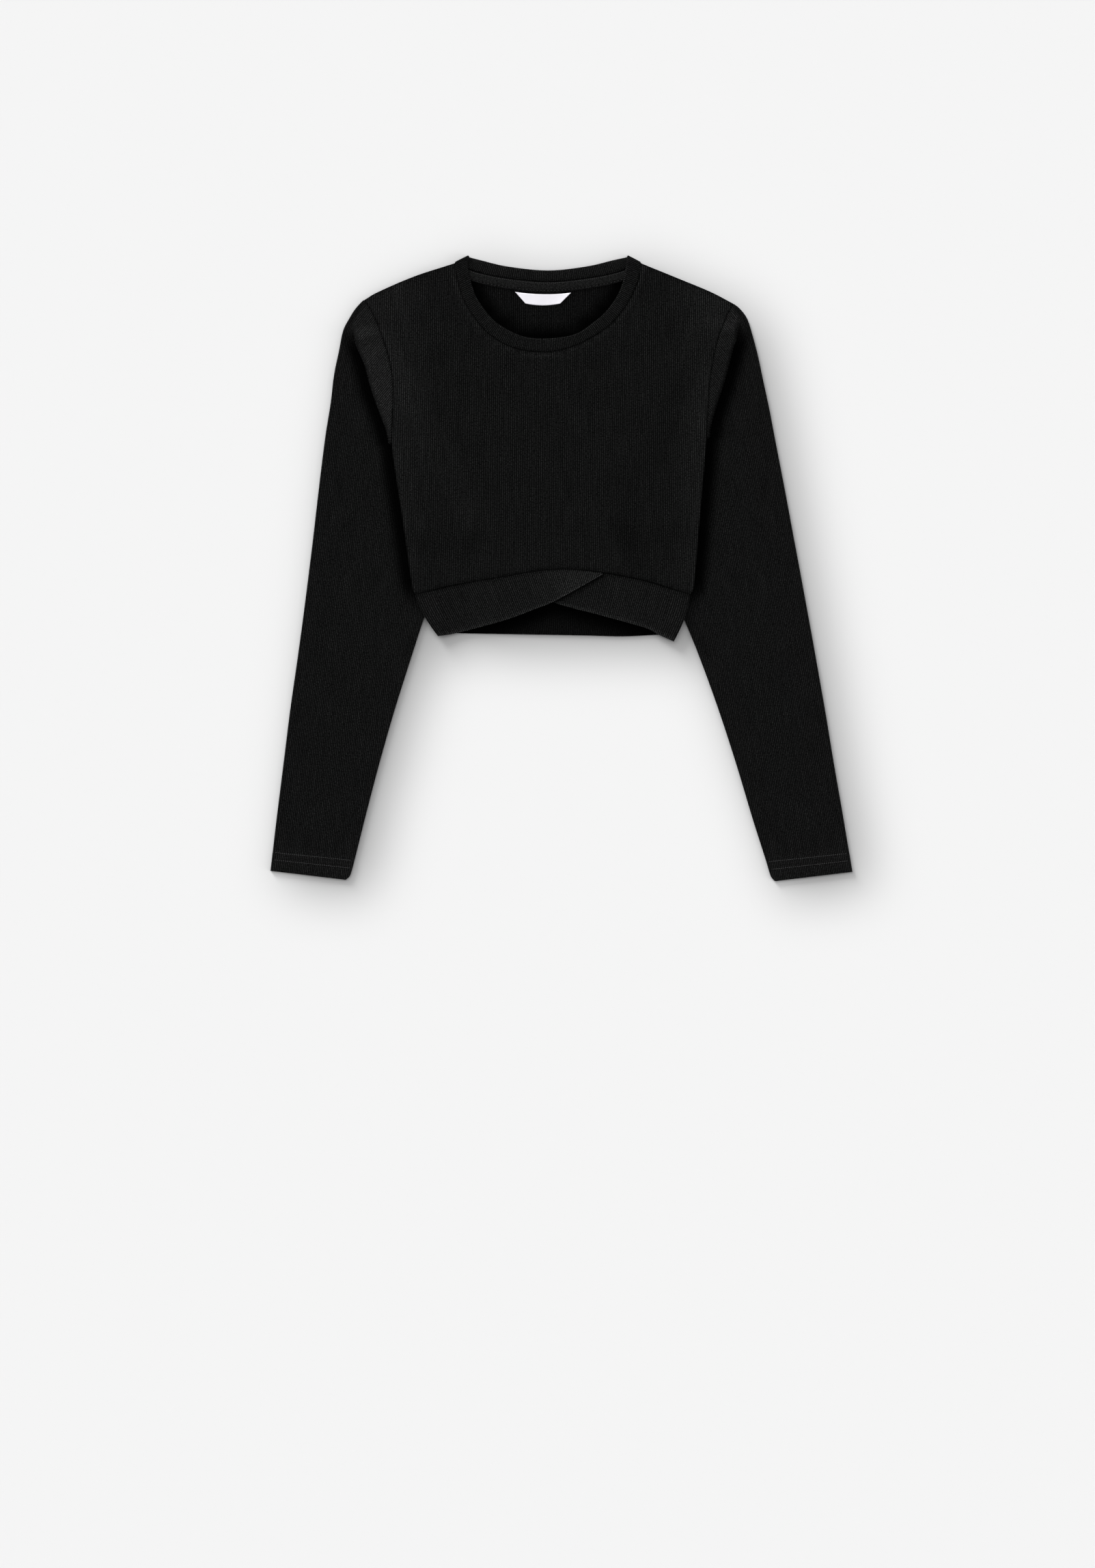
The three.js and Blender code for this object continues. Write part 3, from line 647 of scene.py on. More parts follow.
def cloth_mesh(name, points, faces, knit):
    """A smooth mesh that faces out. knit is each point's place in the cloth, and its tone, which carries
    painted light and shade.
    """
    used = np.unique(np.concatenate([np.array(face) for face in faces]))
    renumber = np.zeros(len(points), int)
    renumber[used] = np.arange(len(used))
    points, knit = points[used], knit[used]
    triangles = np.array([(f[0], f[k], f[k + 1]) for f in faces for k in range(1, len(f) - 1)])
    a, b, c = (points[renumber[triangles[:, k]]] for k in range(3))
    inside_out = np.einsum("ij,ij->i", a, np.cross(b, c)).sum() < 0
    order = -1 if inside_out else 1
    faces = [renumber[list(face)][::order].tolist() for face in faces]
    made = new_mesh(name, points, faces, "knit", knit)
    made.data.shade_smooth()
    return made


def grid_faces(rows, columns, same):
    """The faces of a grid whose points have been welded, without those that have closed up."""
    faces = []
    for i in range(rows - 1):
        for j in range(columns - 1):
            k = i * columns + j
            corners = [same[n] for n in (k, k + 1, k + columns + 1, k + columns)]
            kept = [n for n, before in zip(corners, corners[-1:] + corners[:-1]) if n != before]
            if len(kept) > 2 and len(set(kept)) == len(kept):
                faces.append(kept)
    return faces


def wall(name, outer, inner, knit):
    """A closed wall of cloth between its outer and inner faces, two grids of points with the same rows."""
    rows, columns = outer.shape[:2]
    count = rows * columns
    pairs = np.concatenate([outer, inner], axis=2).reshape(-1, 6)
    faces = grid_faces(rows, columns, weld(pairs).tolist())
    open_edges = set()
    for face in faces:
        for edge in zip(face, face[1:] + face[:1]):
            if edge[::-1] in open_edges:
                open_edges.remove(edge[::-1])
            else:
                open_edges.add(edge)
    under = [[n + count for n in reversed(face)] for face in faces]
    rims = [[b, a, a + count, b + count] for a, b in sorted(open_edges)]
    points = np.concatenate([pairs[:, :3], pairs[:, 3:]])
    places = np.concatenate([knit.reshape(-1, 3)] * 2)
    return cloth_mesh(name, points, faces + under + rims, places)


def stack(x, y, z):
    return np.stack(np.broadcast_arrays(x, y, z), axis=-1).astype(float)


def top_edge(neck, x):
    left, right = SHOULDER_LEFT[-1][0], SHOULDER_RIGHT[0][0]
    over_neck = np.where(x < right, along(neck, x), along(SHOULDER_RIGHT, x))
    return np.where(x < left, along(SHOULDER_LEFT, x), over_neck)


def steepness(edge, x):
    """How much longer an edge is than its run in x."""
    step = 0.2
    slope = (edge(x + step) - edge(x - step)) / (2 * step)
    return np.hypot(1, np.clip(slope, -STEEPEST, STEEPEST))


def body_places(waist, neck, row_step, per_rib):
    """A grid over a body panel, with its columns on the ribs.

    It has each point's place across the ribs, its way in from the edge and its way up from the waist.
    """
    def low(x):
        return along(waist, x)

    def high(x):
        return top_edge(neck, x)

    lowest = min(y for _, y in waist)
    highest = max(y for _, y in neck)
    levels = np.arange(lowest, highest + row_step, row_step)
    levels = np.concatenate([levels[:1]] * 2 + [levels] + [levels[-1:]] * 2)[:, None]
    reach = BODY_HALF_WIDTH / BODY_PITCH
    ribs = BODY_PITCH * np.arange(-reach * per_rib, reach * per_rib + 1).round() / per_rib
    insets = np.array([0, EDGE / 3])
    y = np.repeat(levels, len(ribs) + 2 * len(insets), axis=1)
    for _ in range(SETTLING):
        left = -LAP - along(SIDE_LEFT, np.clip(y, *END_LEVELS[0]))
        right = along(SIDE_RIGHT, np.clip(y, *END_LEVELS[1])) + LAP
        x = BODY_CENTRE + ribs * (1 + BODY_FAN * (y[:, 2:-2] - FAN_LEVEL))
        x = x + wander(x, y[:, 2:-2], 2)
        x = np.clip(x, left[:, 2:-2] + EDGE, right[:, 2:-2] - EDGE)
        x = np.concatenate([left[:, :2] + insets, x, right[:, -2:] - insets[::-1]], axis=1)
        low_steep, high_steep = steepness(low, x), steepness(high, x)
        bottom = low(x) - LAP * low_steep
        top = high(x) + LAP * high_steep
        y = np.clip(levels, bottom + EDGE * low_steep, top - EDGE * high_steep)
        y[0], y[1] = bottom[0], (bottom + insets[1] * low_steep)[1]
        y[-1], y[-2] = top[-1], (top - insets[1] * high_steep)[-2]
    way_in = np.minimum(np.minimum(x - left, right - x), (y - bottom) / low_steep)
    way_in = np.minimum(way_in, (top - y) / high_steep)
    across = (x - wander(x, y, 2) - BODY_CENTRE) / (1 + BODY_FAN * (y - FAN_LEVEL))
    return SimpleNamespace(x=x, y=y, across=across, way_in=way_in, above_waist=(y - bottom) / low_steep)


def shade(distance, least, full, end):
    """Share of the light that reaches into a crease, at a distance from it, painted into the cloth's colour
    as shade.
    """
    return mix(least, 1, ease((distance - full) / (end - full)))


def puff(distance, height, width):
    """The soft swelling of a seam's turnings, beside it."""
    return height * bell(distance - 1.2 * width, width)


def front_panel():
    places = body_places(WAIST_FRONT, NECK_SEAM_FRONT, FRONT_ROW, PER_RIB)
    x, y, way_in = places.x, places.y, places.way_in
    from_neck = from_line(NECK_SEAM_FRONT, x, y, 60)
    lower = front_base(x, y)
    relief = RIB_RISE * rib_wave(places.across, BODY_PITCH) * ease(way_in / EDGE)
    relief += creases(FRONT_CREASES, x, y) + UNEVEN * uneven(x, y, 1) * ease(way_in / 20)
    relief += puff(from_neck, *NECK_PUFF) + puff(places.above_waist, *WAIST_PUFF)
    upper = lower + JERSEY - rounding(way_in, JERSEY_ROUND) + relief
    # Painted highlights towards the sides and beside the neck seam, painted shade at the edges, and slopes
    # painted darker where they face the low light and lighter where they turn from it
    from_side = np.minimum(x - FRONT_SIDES[0], FRONT_SIDES[1] - x)
    tone = 1 + FRONT_SIDE_HIGHLIGHT * ease(1 - from_side / FRONT_SIDE_RUN)
    tone += FRONT_NECK_HIGHLIGHT * puff(from_neck, 1, NECK_PUFF[1])
    tone *= shade(way_in, *SEAM_SHADE)
    towards_light = (front_base(x + SLOPE_STEP, y) - front_base(x - SLOPE_STEP, y)) / (2 * SLOPE_STEP)
    tone *= 1 - SLOPE_TONE * np.clip(towards_light, *SLOPE_RANGE)
    knit = stack(places.across, y, tone)
    return wall("front_panel_cloth", stack(x, y, upper), stack(x, y, lower), knit)


def back_panel():
    places = body_places(WAIST_BACK, NECK_SEAM_BACK, BACK_ROW, PER_RIB)
    x, y, way_in = places.x, places.y, places.way_in
    under = drape(x, y)
    relief = 0.8 * RIB_RISE * rib_wave(places.across, BODY_PITCH) * ease(way_in / EDGE)
    outer = under + rounding(way_in, JERSEY_ROUND)
    inner = under + JERSEY + relief
    # Painted shade over the whole back panel, deeper beside the front neckband's inner edge
    tone = BACK_PAINTED_SHADE * shade(from_line(NECK_EDGE_FRONT, x, y, 60), *NECK_SHADE)
    return wall("back_panel_cloth", stack(x, y, outer), stack(x, y, inner), stack(places.across, y, tone))


def sleeve_path(sleeve, y, drop):
    """The line midway between the sleeve's two layers, from its outer edge to the armhole or underarm."""
    pleat = pleat_at(sleeve, y)
    angle, turn, middle, radius = pleat.angle, pleat.turn, pleat.middle, pleat.radius
    advance, half, outer = pleat.advance, pleat.half, pleat.outer
    flat = angle < FLAT
    cap = np.maximum(SHORTEST, pleat.centre - half - pleat.armhole)
    capped_first = outer - pleat.centre - half
    capped_last = capped_first + 2 * turn + middle + cap
    fit = np.where(flat, (outer - pleat.armhole) / capped_last, 1)
    inward = np.where(angle < math.pi / 2, advance + middle * np.cos(angle), radius)
    edge = np.where(y > pleat.knee, pleat.valley, inner_at(sleeve, y - drop))
    hidden_first = outer - edge - inward - HALF_LEVEL * np.sin(np.minimum(angle, math.pi / 2))
    first = np.where(pleat.capped, capped_first * fit, hidden_first)
    second = first + turn * fit
    third = second + middle * fit
    last = np.where(pleat.capped, capped_last * fit, hidden_first + turn + middle)
    fourth = np.where(pleat.capped, last - cap * fit, last)

    def at(s):
        sin, cos = np.sin(angle), np.cos(angle)
        tilt = (s - first) / turn * angle
        depth = outer - first - radius * np.sin(tilt)
        z = HALF_LEVEL + radius * (1 - np.cos(tilt))
        on_middle = s > second
        start = outer - first - advance
        height = HALF_LEVEL + radius * (1 - cos)
        depth = np.where(on_middle, start - (s - second) * cos, depth)
        z = np.where(on_middle, height + (s - second) * sin, z)
        tilt = np.where(on_middle, angle, tilt)
        turning = pleat.capped & (s > third)
        back = angle * (1 - (s - third) / turn)
        depth = np.where(turning, start - middle * cos - radius * (sin - np.sin(back)), depth)
        z = np.where(turning, height + middle * sin + radius * (np.cos(back) - cos), z)
        tilt = np.where(turning, back, tilt)
        on_cap = pleat.capped & (s > fourth)
        cap_depth = start - middle * cos - advance - (s - fourth)
        depth = np.where(on_cap, cap_depth, depth)
        z = np.where(on_cap, HALF_LEVEL + drape(sleeve.side * cap_depth, y), z)
        tilt = np.where(on_cap, 0, tilt)
        lying = (s <= first) | flat
        return np.where(lying, outer - s, depth), np.where(lying, HALF_LEVEL, z), np.where(lying, 0, tilt)

    return SimpleNamespace(at=at, first=first, third=third, fourth=fourth, last=last, capped=pleat.capped)


def sleeve_levels(sleeve):
    knee = float(pleat_at(sleeve, 0.0).knee)
    cuff = sleeve.outer[-1][0]
    spans = [
        # from, to, step
        (sleeve.top + TOP_REACH, sleeve.pleat_top, 3),
        (sleeve.pleat_top, sleeve.underarm + 1, 2.7),
        (sleeve.underarm - UNDERARM_STEP, knee, 4),
        (knee, cuff + HEM + HEM_STEP, 6.5),
        (cuff + HEM - HEM_STEP, cuff + EDGE, 2.2),
        (cuff + EDGE / 3, cuff, 1),
    ]
    levels = []
    for start, end, step in spans:
        levels.extend(np.linspace(start, end, max(2, 1 + math.ceil((start - end) / step))))
    return np.array([y for k, y in enumerate(levels) if k == 0 or abs(y - levels[k - 1]) > 0.01])


def sleeve_drop(sleeve, y):
    cuff = sleeve.outer[-1][0]
    return sleeve.cuff_drop * ease((DROP_FROM - y) / (DROP_FROM - cuff))


def sleeve_cloth(sleeve):
    y = sleeve_levels(sleeve)[:, None]
    cuff = sleeve.outer[-1][0]
    drop = sleeve_drop(sleeve, y)
    path = sleeve_path(sleeve, y, drop)
    last, fourth = path.last, path.fourth

    step = SLEEVE_PITCH / PER_RIB
    ribs = step * np.arange(math.ceil(float(last.max() + WANDER) / step), 0, -1)
    seed = sleeve.side + 4
    ribs = np.maximum(ribs - wander(ribs, y, seed), step / 2)
    ends = [last, last - EDGE / 3]
    top = np.concatenate([*ends, np.minimum(ribs, last - EDGE), 0 * last], axis=1)
    under_shares = np.linspace(0, 1, UNDER_COLUMNS)
    under = np.concatenate([under_shares * (last - EDGE), *reversed(ends)], axis=1)
    roll = np.linspace(0, math.pi, ROLL_STEPS + 1)[1:-1]
    s = np.concatenate([top, np.repeat(0 * last, len(roll), axis=1), under], axis=1)
    tops, unders = top.shape[1], under.shape[1]
    across = np.concatenate([np.zeros(tops), np.sin(roll), np.zeros(unders)])
    up = np.concatenate([np.ones(tops), np.cos(roll), -np.ones(unders)])
    bend = np.concatenate([np.zeros(tops), roll, np.full(unders, math.pi)])
    strayed = s + wander(s, y, seed)
    rib = np.where(up > 0, strayed, -strayed) - HALF_LEVEL * bend
    depth, z, tilt = path.at(s)
    x_flat = sleeve.side * depth
    y_flat = y - drop * (s / last)

    on_top = np.clip(up, 0, 1)
    from_end = last - s
    from_cuff = y - cuff
    hem = np.where(from_cuff < HEM, HEM_THICKER, 0)
    on_cap = path.capped & (s > fourth) & (up > 0)
    ribbed = np.where(on_cap, 0, ease(from_end / EDGE) * ease(from_cuff / EDGE))
    relief = RIB_RISE * rib_wave(rib, SLEEVE_PITCH) * ribbed
    relief += np.where(path.capped, puff(from_end, *ARMHOLE_PUFF), 0)
    groove, groove_width = CUFF_GROOVE
    relief += puff(abs(from_cuff - HEM), *CUFF_PUFF) - groove * bell(from_cuff - STITCH_LOW, groove_width)
    lying = (s < path.first - 2) & (up > 0)
    relief += np.where(lying, creases(sleeve.creases, x_flat, y_flat), 0)
    relief += np.where(lying, UNEVEN * uneven(x_flat, y_flat, sleeve.side + 3) * ease(s / 15), 0)
    cut = rounding(from_end, JERSEY_ROUND) + rounding(from_cuff, JERSEY_ROUND) + 0 * s
    outer_offset = HALF_LEVEL + on_top * (hem + relief - cut)
    inner_offset = np.full(s.shape, LAYER_AIR / 2)

    def place(offset):
        out = depth + offset * (across * np.cos(tilt) + up * np.sin(tilt))
        height = z + offset * (up * np.cos(tilt) - across * np.sin(tilt))
        return stack(sleeve.side * out, y_flat, height)

    slant = math.radians(CAP_SLANT)
    cap_rib = x_flat * math.sin(slant) + sleeve.side * y_flat * math.cos(slant)
    cap_way = x_flat * math.cos(slant) - sleeve.side * y_flat * math.sin(slant)
    # Painted shade in the crease beside the body and under the cap's fold, and a painted highlight on the
    # cap
    into_crease = depth - np.where(path.capped, along(sleeve.ridge, y), along(sleeve.armhole, y))
    crease = mix(1, shade(into_crease, *SIDE_SHADE), ease((y + 50) / 40) * ease((sleeve.pleat_top - y) / 30))
    closing = np.clip((sleeve.pleat_top - y) / FOLD_RUN, 0, 1)
    cap_highlight = mix(CAP_TOP_HIGHLIGHT, sleeve.cap_highlight, ease((sleeve.pleat_top - y) / CAP_HIGHLIGHT_RUN))
    # Painted shade on the cap where the pleat is closing
    cap_highlight = cap_highlight * (1 - CAP_CLOSING_SHADE * np.sin(math.pi * closing))
    into_cap = np.where(path.capped & (up > 0), ease((s - path.third) / (fourth - path.third + SHORTEST)), 0)
    tone = mix(crease, cap_highlight * shade(from_end, *SEAM_SHADE), into_cap)
    cuff_tone = np.where(from_cuff < HEM, CUFF_TONE, 1)
    # Painted shade on the sleeve's underside, where it faces the surface
    knit = stack(
        np.where(on_cap, cap_rib, rib),
        np.where(on_cap, cap_way, y),
        tone * cuff_tone * mix(UNDERSIDE_PAINTED_SHADE, 1, on_top),
    )
    return wall(f"{sleeve.name}_cloth", place(outer_offset), place(inner_offset), knit)


def band(name, seam, hem, base, ends, inside_up=False, tip_tone=1, beneath=None):
    """A doubled waistband between its seam and its folded hem.

    ends says how each short side bows out, and beneath is the hem of the band that lies on this one.
    """
    length = (curve_length(seam) + curve_length(hem)) / 2
    ribs = round(length / BAND_PITCH)
    inner_shares = np.arange(1, ribs * PER_RIB) / (ribs * PER_RIB)
    insets = np.array([0, EDGE / 3]) / length
    shares = np.concatenate([insets, inner_shares, 1 - insets[::-1]])
    direction = -1 if seam[0][0] < seam[-1][0] else 1
    upper = offset_curve(smooth(seam, shares), direction * SEAM / 2)
    lower = smooth(hem, shares)
    width = np.maximum(np.linalg.norm(upper - lower, axis=1), 0.5)
    from_seam = np.array([0, EDGE / 3, EDGE])[:, None]
    from_hem = np.array([EDGE, 0.5, 0.28, 0.12, 0.03, 0])[:, None]
    at_seam = np.minimum(from_seam / width, BAND_EDGE_SHARE)
    at_hem = 1 - np.minimum(from_hem / width, BAND_EDGE_SHARE)
    between = np.linspace(0, 1, BAND_ROWS + 1)[1:-1, None]
    v = np.concatenate([at_seam, mix(at_seam[-1], at_hem[0], between), at_hem])
    bow = BAND_BULGE * np.sin(math.pi * v)
    near_start = np.clip(1 - shares / BAND_BULGE_SHARE, 0, 1)
    near_end = np.clip(1 - (1 - shares) / BAND_BULGE_SHARE, 0, 1)
    x = mix(upper[:, 0], lower[:, 0], v) + bow * (ends[0] * near_start + ends[1] * near_end)
    y = mix(upper[:, 1], lower[:, 1], v)
    x = x + BAND_WANDER * wander(x, y, 3) * np.sin(math.pi * v) * ease(10 * np.minimum(shares, 1 - shares))
    seam_way, hem_way = v * width, (1 - v) * width
    end_way = np.minimum(shares, 1 - shares) * length
    under = base(x, y)
    wave = rib_wave(shares * ribs, 1)
    rise = mix(HEM_RIB_RISE, RIB_RISE, ease(hem_way / 2)) * ease(seam_way / EDGE) * ease(end_way / EDGE)
    fold = rounding(hem_way, BAND / 2) + rounding(end_way, BAND / 3) + 0 * x
    relief = rise * wave + puff(hem_way, *BAND_PUFF) + BAND_UNEVEN * uneven(x, y, 5) * ease(hem_way / 8)
    most = BAND_ROUND_SHARE * BAND
    top = under + BAND - np.minimum(fold + rounding(seam_way, JERSEY_ROUND), most) + relief
    bottom = under + np.minimum(fold, most)
    y = y - HEM_SCALLOP[0] * wave * bell(hem_way, HEM_SCALLOP[1])
    # Painted highlight along the folded hem and painted shade beside the seam
    tone = mix(BAND_HEM_HIGHLIGHT, BAND_TONE, ease(hem_way / BAND_HEM_RUN)) * shade(seam_way, *SEAM_SHADE)
    tone = tone * mix(1, tip_tone, ease((shares - 0.5) / 0.45))
    if beneath:
        tone = tone * shade(from_line(beneath, x, y), *CROSSING_SHADE)
    # The back band's inside gets painted shade, deeper near the front bands' hems
    if inside_up:
        in_shade = [shade(from_line(line, x, y), *HEM_SHADE) for line in (OVER_HEM, UNDER_HEM)]
        tone = BAND_INSIDE_SHADE * np.minimum(*in_shade)
    knit = stack(shares * ribs * BAND_PITCH, seam_way, tone)
    return wall(name, stack(x, y, top), stack(x, y, bottom), knit)


def band_base(x, y):
    return drape(x, y) + BAND + LAYER_AIR


def over_base(x, y):
    return band_base(x, y) + (BAND + AIR) * ease((x - OVER_RISE[0]) / (OVER_RISE[1] - OVER_RISE[0]))


def waistbands():
    over_seam = [p for p in WAIST_FRONT if p[0] < OVER_END]
    under_seam = [p for p in reversed(WAIST_FRONT) if p[0] > UNDER_END]
    for seam, end in ((over_seam, OVER_END), (under_seam, UNDER_END)):
        seam.append((end, float(along(WAIST_FRONT, end))))
    return [
        band("band_front_over_cloth", over_seam, OVER_HEM, over_base, (-1, 0), tip_tone=OVER_TIP_TONE),
        band("band_front_under_cloth", under_seam, UNDER_HEM, band_base, (1, 0), beneath=OVER_HEM),
        band("band_back_cloth", WAIST_BACK, BACK_HEM, drape, (-1, 1), inside_up=True),
    ]


def neckband():
    """The doubled neckband: up the front on top, over at each shoulder and across the back below."""
    high = JERSEY + LAYER_AIR + CROWN + NECK_RIB / 2
    low = NECK_RIB / 2
    turn = (high - low) / 2

    def strip(seam_table, edge_table, centre, up, ribs):
        shares = np.linspace(0, 1, ribs * PER_RIB + 1)
        seams = offset_curve(smooth(seam_table, shares), up * SEAM / 2)
        edge_line = smooth(edge_table, np.linspace(0, 1, 400))
        _, _, opposite = nearest(edge_line, seams[:, 0], seams[:, 1])
        near_end = ease(np.minimum(shares, 1 - shares) / NECK_END_SHARE)
        opposite = np.maximum.accumulate(mix(shares, opposite, NECK_ACROSS * near_end))
        edges = smooth(edge_table, opposite)
        return [(seam, edge, centre, np.array([0, 0, up])) for seam, edge in zip(seams, edges)]

    def fold(start, end, sign):
        across = start[1] - start[0]
        across = across / np.linalg.norm(across)
        out = np.array([-across[1], across[0]]) * (np.sign(across[0]) or 1)
        made = []
        for k in range(1, NECK_TURN_STEPS):
            share = k / NECK_TURN_STEPS
            angle = math.pi * share
            shift = out * turn * math.sin(angle)
            normal = np.array([*(out * math.sin(angle)), sign * math.cos(angle)])
            seam = mix(start[0], end[0], share) + NECK_SEAM_LAG * shift
            edge = mix(start[1], end[1], share) + shift
            made.append((seam, edge, low + turn + sign * turn * math.cos(angle), normal))
        return made

    front = strip(NECK_SEAM_FRONT, NECK_EDGE_FRONT, high, 1, FRONT_NECK_RIBS)
    back = strip(NECK_SEAM_BACK, NECK_EDGE_BACK, low, -1, BACK_NECK_RIBS)
    sections = [*front, *fold(front[-1], back[0], 1), *back, *fold(back[-1], front[0], -1)]
    seams, edges, centres, normals = (np.array(values)[:, None] for values in zip(*sections))
    half_turn = np.linspace(0, math.pi, 7)
    inner_edge = [(1 - NECK_EDGE_SHARE + NECK_EDGE_SHARE * math.sin(t), math.cos(t)) for t in half_turn]
    a, b = np.array([*NECK_SECTION_TOP, *inner_edge, *NECK_SECTION_UNDER], float).T
    place = mix(seams, edges, a[None, :, None])
    index = np.arange(len(sections))[:, None]
    wave = rib_wave(index / PER_RIB, 1)
    near_edges = ease(a / 0.05) * np.clip(np.abs(b) * 1.5, 0, 1)
    rise = (NECK_RIB / 2 * b + 1.2 * RIB_RISE * wave * near_edges * np.sign(b))[..., None]
    flat = np.concatenate([place, np.broadcast_to(centres, place.shape[:2])[..., None]], axis=2)
    points = flat + rise * normals
    outward = edges - seams
    outward = outward / np.linalg.norm(outward, axis=2, keepdims=True)
    scallop = NECK_SCALLOP * wave[..., None] * np.clip((a - 0.9) / 0.1, 0, 1)[None, :, None]
    points[..., :2] += scallop * outward
    points[..., 2] = np.maximum(points[..., 2], 0)
    here = np.arange(points[..., 0].size).reshape(points.shape[:2])
    beside = np.roll(here, -1, 1)
    faces = np.stack([here, beside, np.roll(beside, -1, 0), np.roll(here, -1, 0)], axis=-1).reshape(-1, 4)
    tone = np.where(b > 0, NECKBAND_TOP_TONE, NECKBAND_UNDER_TONE)
    # Painted highlight along the folded inner edge
    tone = tone + NECKBAND_EDGE_HIGHLIGHT * bell(a - 0.97, 0.05)
    knit = stack(index / PER_RIB * BAND_PITCH, NECKBAND_WIDTH * a, tone)
    return cloth_mesh("neckband_cloth", points.reshape(-1, 3), faces.tolist(), knit.reshape(-1, 3))


def flat_piece(name, x, y, way_in, base, thickness, relief, knit):
    """A small flat piece with its edges rounded, over a grid of places."""
    top = base + thickness - rounding(way_in, 0.9 * thickness) * 0.8 + relief
    return wall(name, stack(x, y, top), stack(x, y, base + 0 * x), knit)


def tape_line(x, drop):
    return along(NECK_SEAM_BACK, x) - TAPE_START - drop


def neck_tape():
    start, end = TAPE_ENDS
    x = np.concatenate([[start, start + 0.3], np.linspace(start + 0.8, end - 0.8, 180), [end - 0.3, end]])
    down = np.array([0, 0.3, 0.8, 1.6, 2.6, 3.8, 5, 6.2, 7.2, 8, 8.6, 9.2, 9.7, TAPE_WIDTH])[:, None]
    y = tape_line(x, down)
    way_in = np.minimum(np.minimum(down, TAPE_WIDTH - down), np.minimum(x - start, end - x))
    from_row = down - TAPE_STITCH_ROW
    relief = TAPE_PUCKER[0] * rib_wave(x, TAPE_STITCH) * bell(from_row, TAPE_PUCKER[1])
    relief = relief - TAPE_GROOVE[0] * bell(from_row, TAPE_GROOVE[1]) + puff(down, *TAPE_PUFF)
    knit = stack(x, y, TAPE_TONE * shade(abs(from_row), *TAPE_STITCH_SHADE))
    return flat_piece("neck_tape_cloth", x, y, way_in, JERSEY + AIR, TAPE, relief, knit)


def label():
    """The small woven label: wider at the top, its long edges a little bowed, its face bare."""
    across = np.concatenate([[0, 0.006], np.linspace(0.02, 0.98, 60), [0.994, 1]])
    down = np.concatenate([[0, 0.03], np.linspace(0.08, 0.92, 12), [0.97, 1]])[:, None]
    middle = 1 - (2 * across - 1) ** 2
    top = LABEL_SPAN[0] + LABEL_TILT * (1 - 2 * across) - LABEL_DIP * middle
    foot = LABEL_SPAN[1] - LABEL_BULGE * middle + LABEL_BULGE
    left = mix(LABEL_TOP[0], LABEL_FOOT[0], down)
    right = mix(LABEL_TOP[1], LABEL_FOOT[1], down)
    x = mix(left, right, across)
    y = mix(top, foot, down)
    tall = LABEL_SPAN[0] - LABEL_SPAN[1]
    wide = LABEL_TOP[1] - LABEL_TOP[0]
    way_in = np.minimum(np.minimum(down, 1 - down) * tall, np.minimum(across, 1 - across) * wide)
    curl = LABEL_CURL * (2 * across - 1) ** 4 + LABEL_WAVE * np.sin(5 * across + 1)
    return flat_piece("label_cloth", x, y, way_in, JERSEY + AIR, LABEL * LABEL_BODY, curl, stack(x, y, 1))


def stitches(name, places, length, radius):
    """One mesh of short raised stitches. Each place is x, y, z and the stitch's direction in the plane."""
    sides = STITCH_SIDES
    points, faces, knit = [], [], []
    for x, y, z, direction in places:
        along_x, along_y = math.cos(direction), math.sin(direction)
        first = len(points)
        for reach, share in STITCH_RINGS:
            for k in range(sides):
                turn = 2 * math.pi * k / sides
                aside = radius * share * math.cos(turn)
                away = reach * length / 2
                arch = STITCH_ARCH * radius * (1 - reach**2)
                points.append((
                    x + away * along_x - aside * along_y,
                    y + away * along_y + aside * along_x,
                    z + arch + radius * share * math.sin(turn),
                ))
                knit.append((away, aside, 1))
        last = len(points) - sides
        for start in range(first, last, sides):
            for k in range(sides):
                a, b = start + k, start + (k + 1) % sides
                faces.append([a, b, b + sides, a + sides])
        faces.append([first + k for k in reversed(range(sides))])
        faces.append([last + k for k in range(sides)])
    return cloth_mesh(name, np.array(points), faces, np.array(knit))


def cuff_stitches(sleeve):
    """The two rows that hold a cuff's turned hem."""
    cuff = sleeve.outer[-1][0]
    places = []
    for above in (STITCH_HIGH, STITCH_LOW):
        y = np.array([[cuff + above]])
        drop = sleeve_drop(sleeve, y)
        path = sleeve_path(sleeve, y, drop)
        last = float(path.last[0, 0])
        count = int((last - 2 * ROW_ENDS) / CUFF_STITCH)
        s = ROW_ENDS + CUFF_STITCH * (0.5 + np.arange(count))
        depth, z, _ = path.at(s[None, :])
        surface = z[0] + HALF_LEVEL + HEM_THICKER + STITCH_PROUD
        slope = math.atan2(float(drop[0, 0]), last) * sleeve.side
        for k in range(count):
            x = float(sleeve.side * depth[0, k])
            down = float(y[0, 0] - drop[0, 0] * s[k] / last)
            places.append((x, down, float(surface[k]), slope))
    return stitches(f"{sleeve.name}_cuff_stitching", places, *CUFF_STITCH_SIZE)


def tape_stitches():
    """The row along the tape's foot and the finer zigzag where it meets the neckband."""
    places = []
    top = JERSEY + AIR + TAPE
    start, end = TAPE_ENDS
    for x in np.arange(start + TAPE_ROW_ENDS, end - TAPE_ROW_ENDS, TAPE_STITCH):
        slope = math.atan2(float(tape_line(x + 1, 0) - tape_line(x - 1, 0)), 2)
        places.append((x, float(tape_line(x, TAPE_STITCH_ROW)), top - TAPE_STITCH_SUNK, slope))
    for k, x in enumerate(np.arange(start + ZIGZAG_ENDS, end - ZIGZAG_ENDS, ZIGZAG)):
        lean = ZIGZAG_LEAN if k % 2 else -ZIGZAG_LEAN
        places.append((x, float(tape_line(x, ZIGZAG_ROW)), top + STITCH_PROUD, lean))
    return stitches("neck_tape_stitching", places, *TAPE_STITCH_SIZE)


def node(tree, kind, **settings):
    made = tree.nodes.new(kind)
    for key, value in settings.items():
        setattr(made, key, value)
    return made


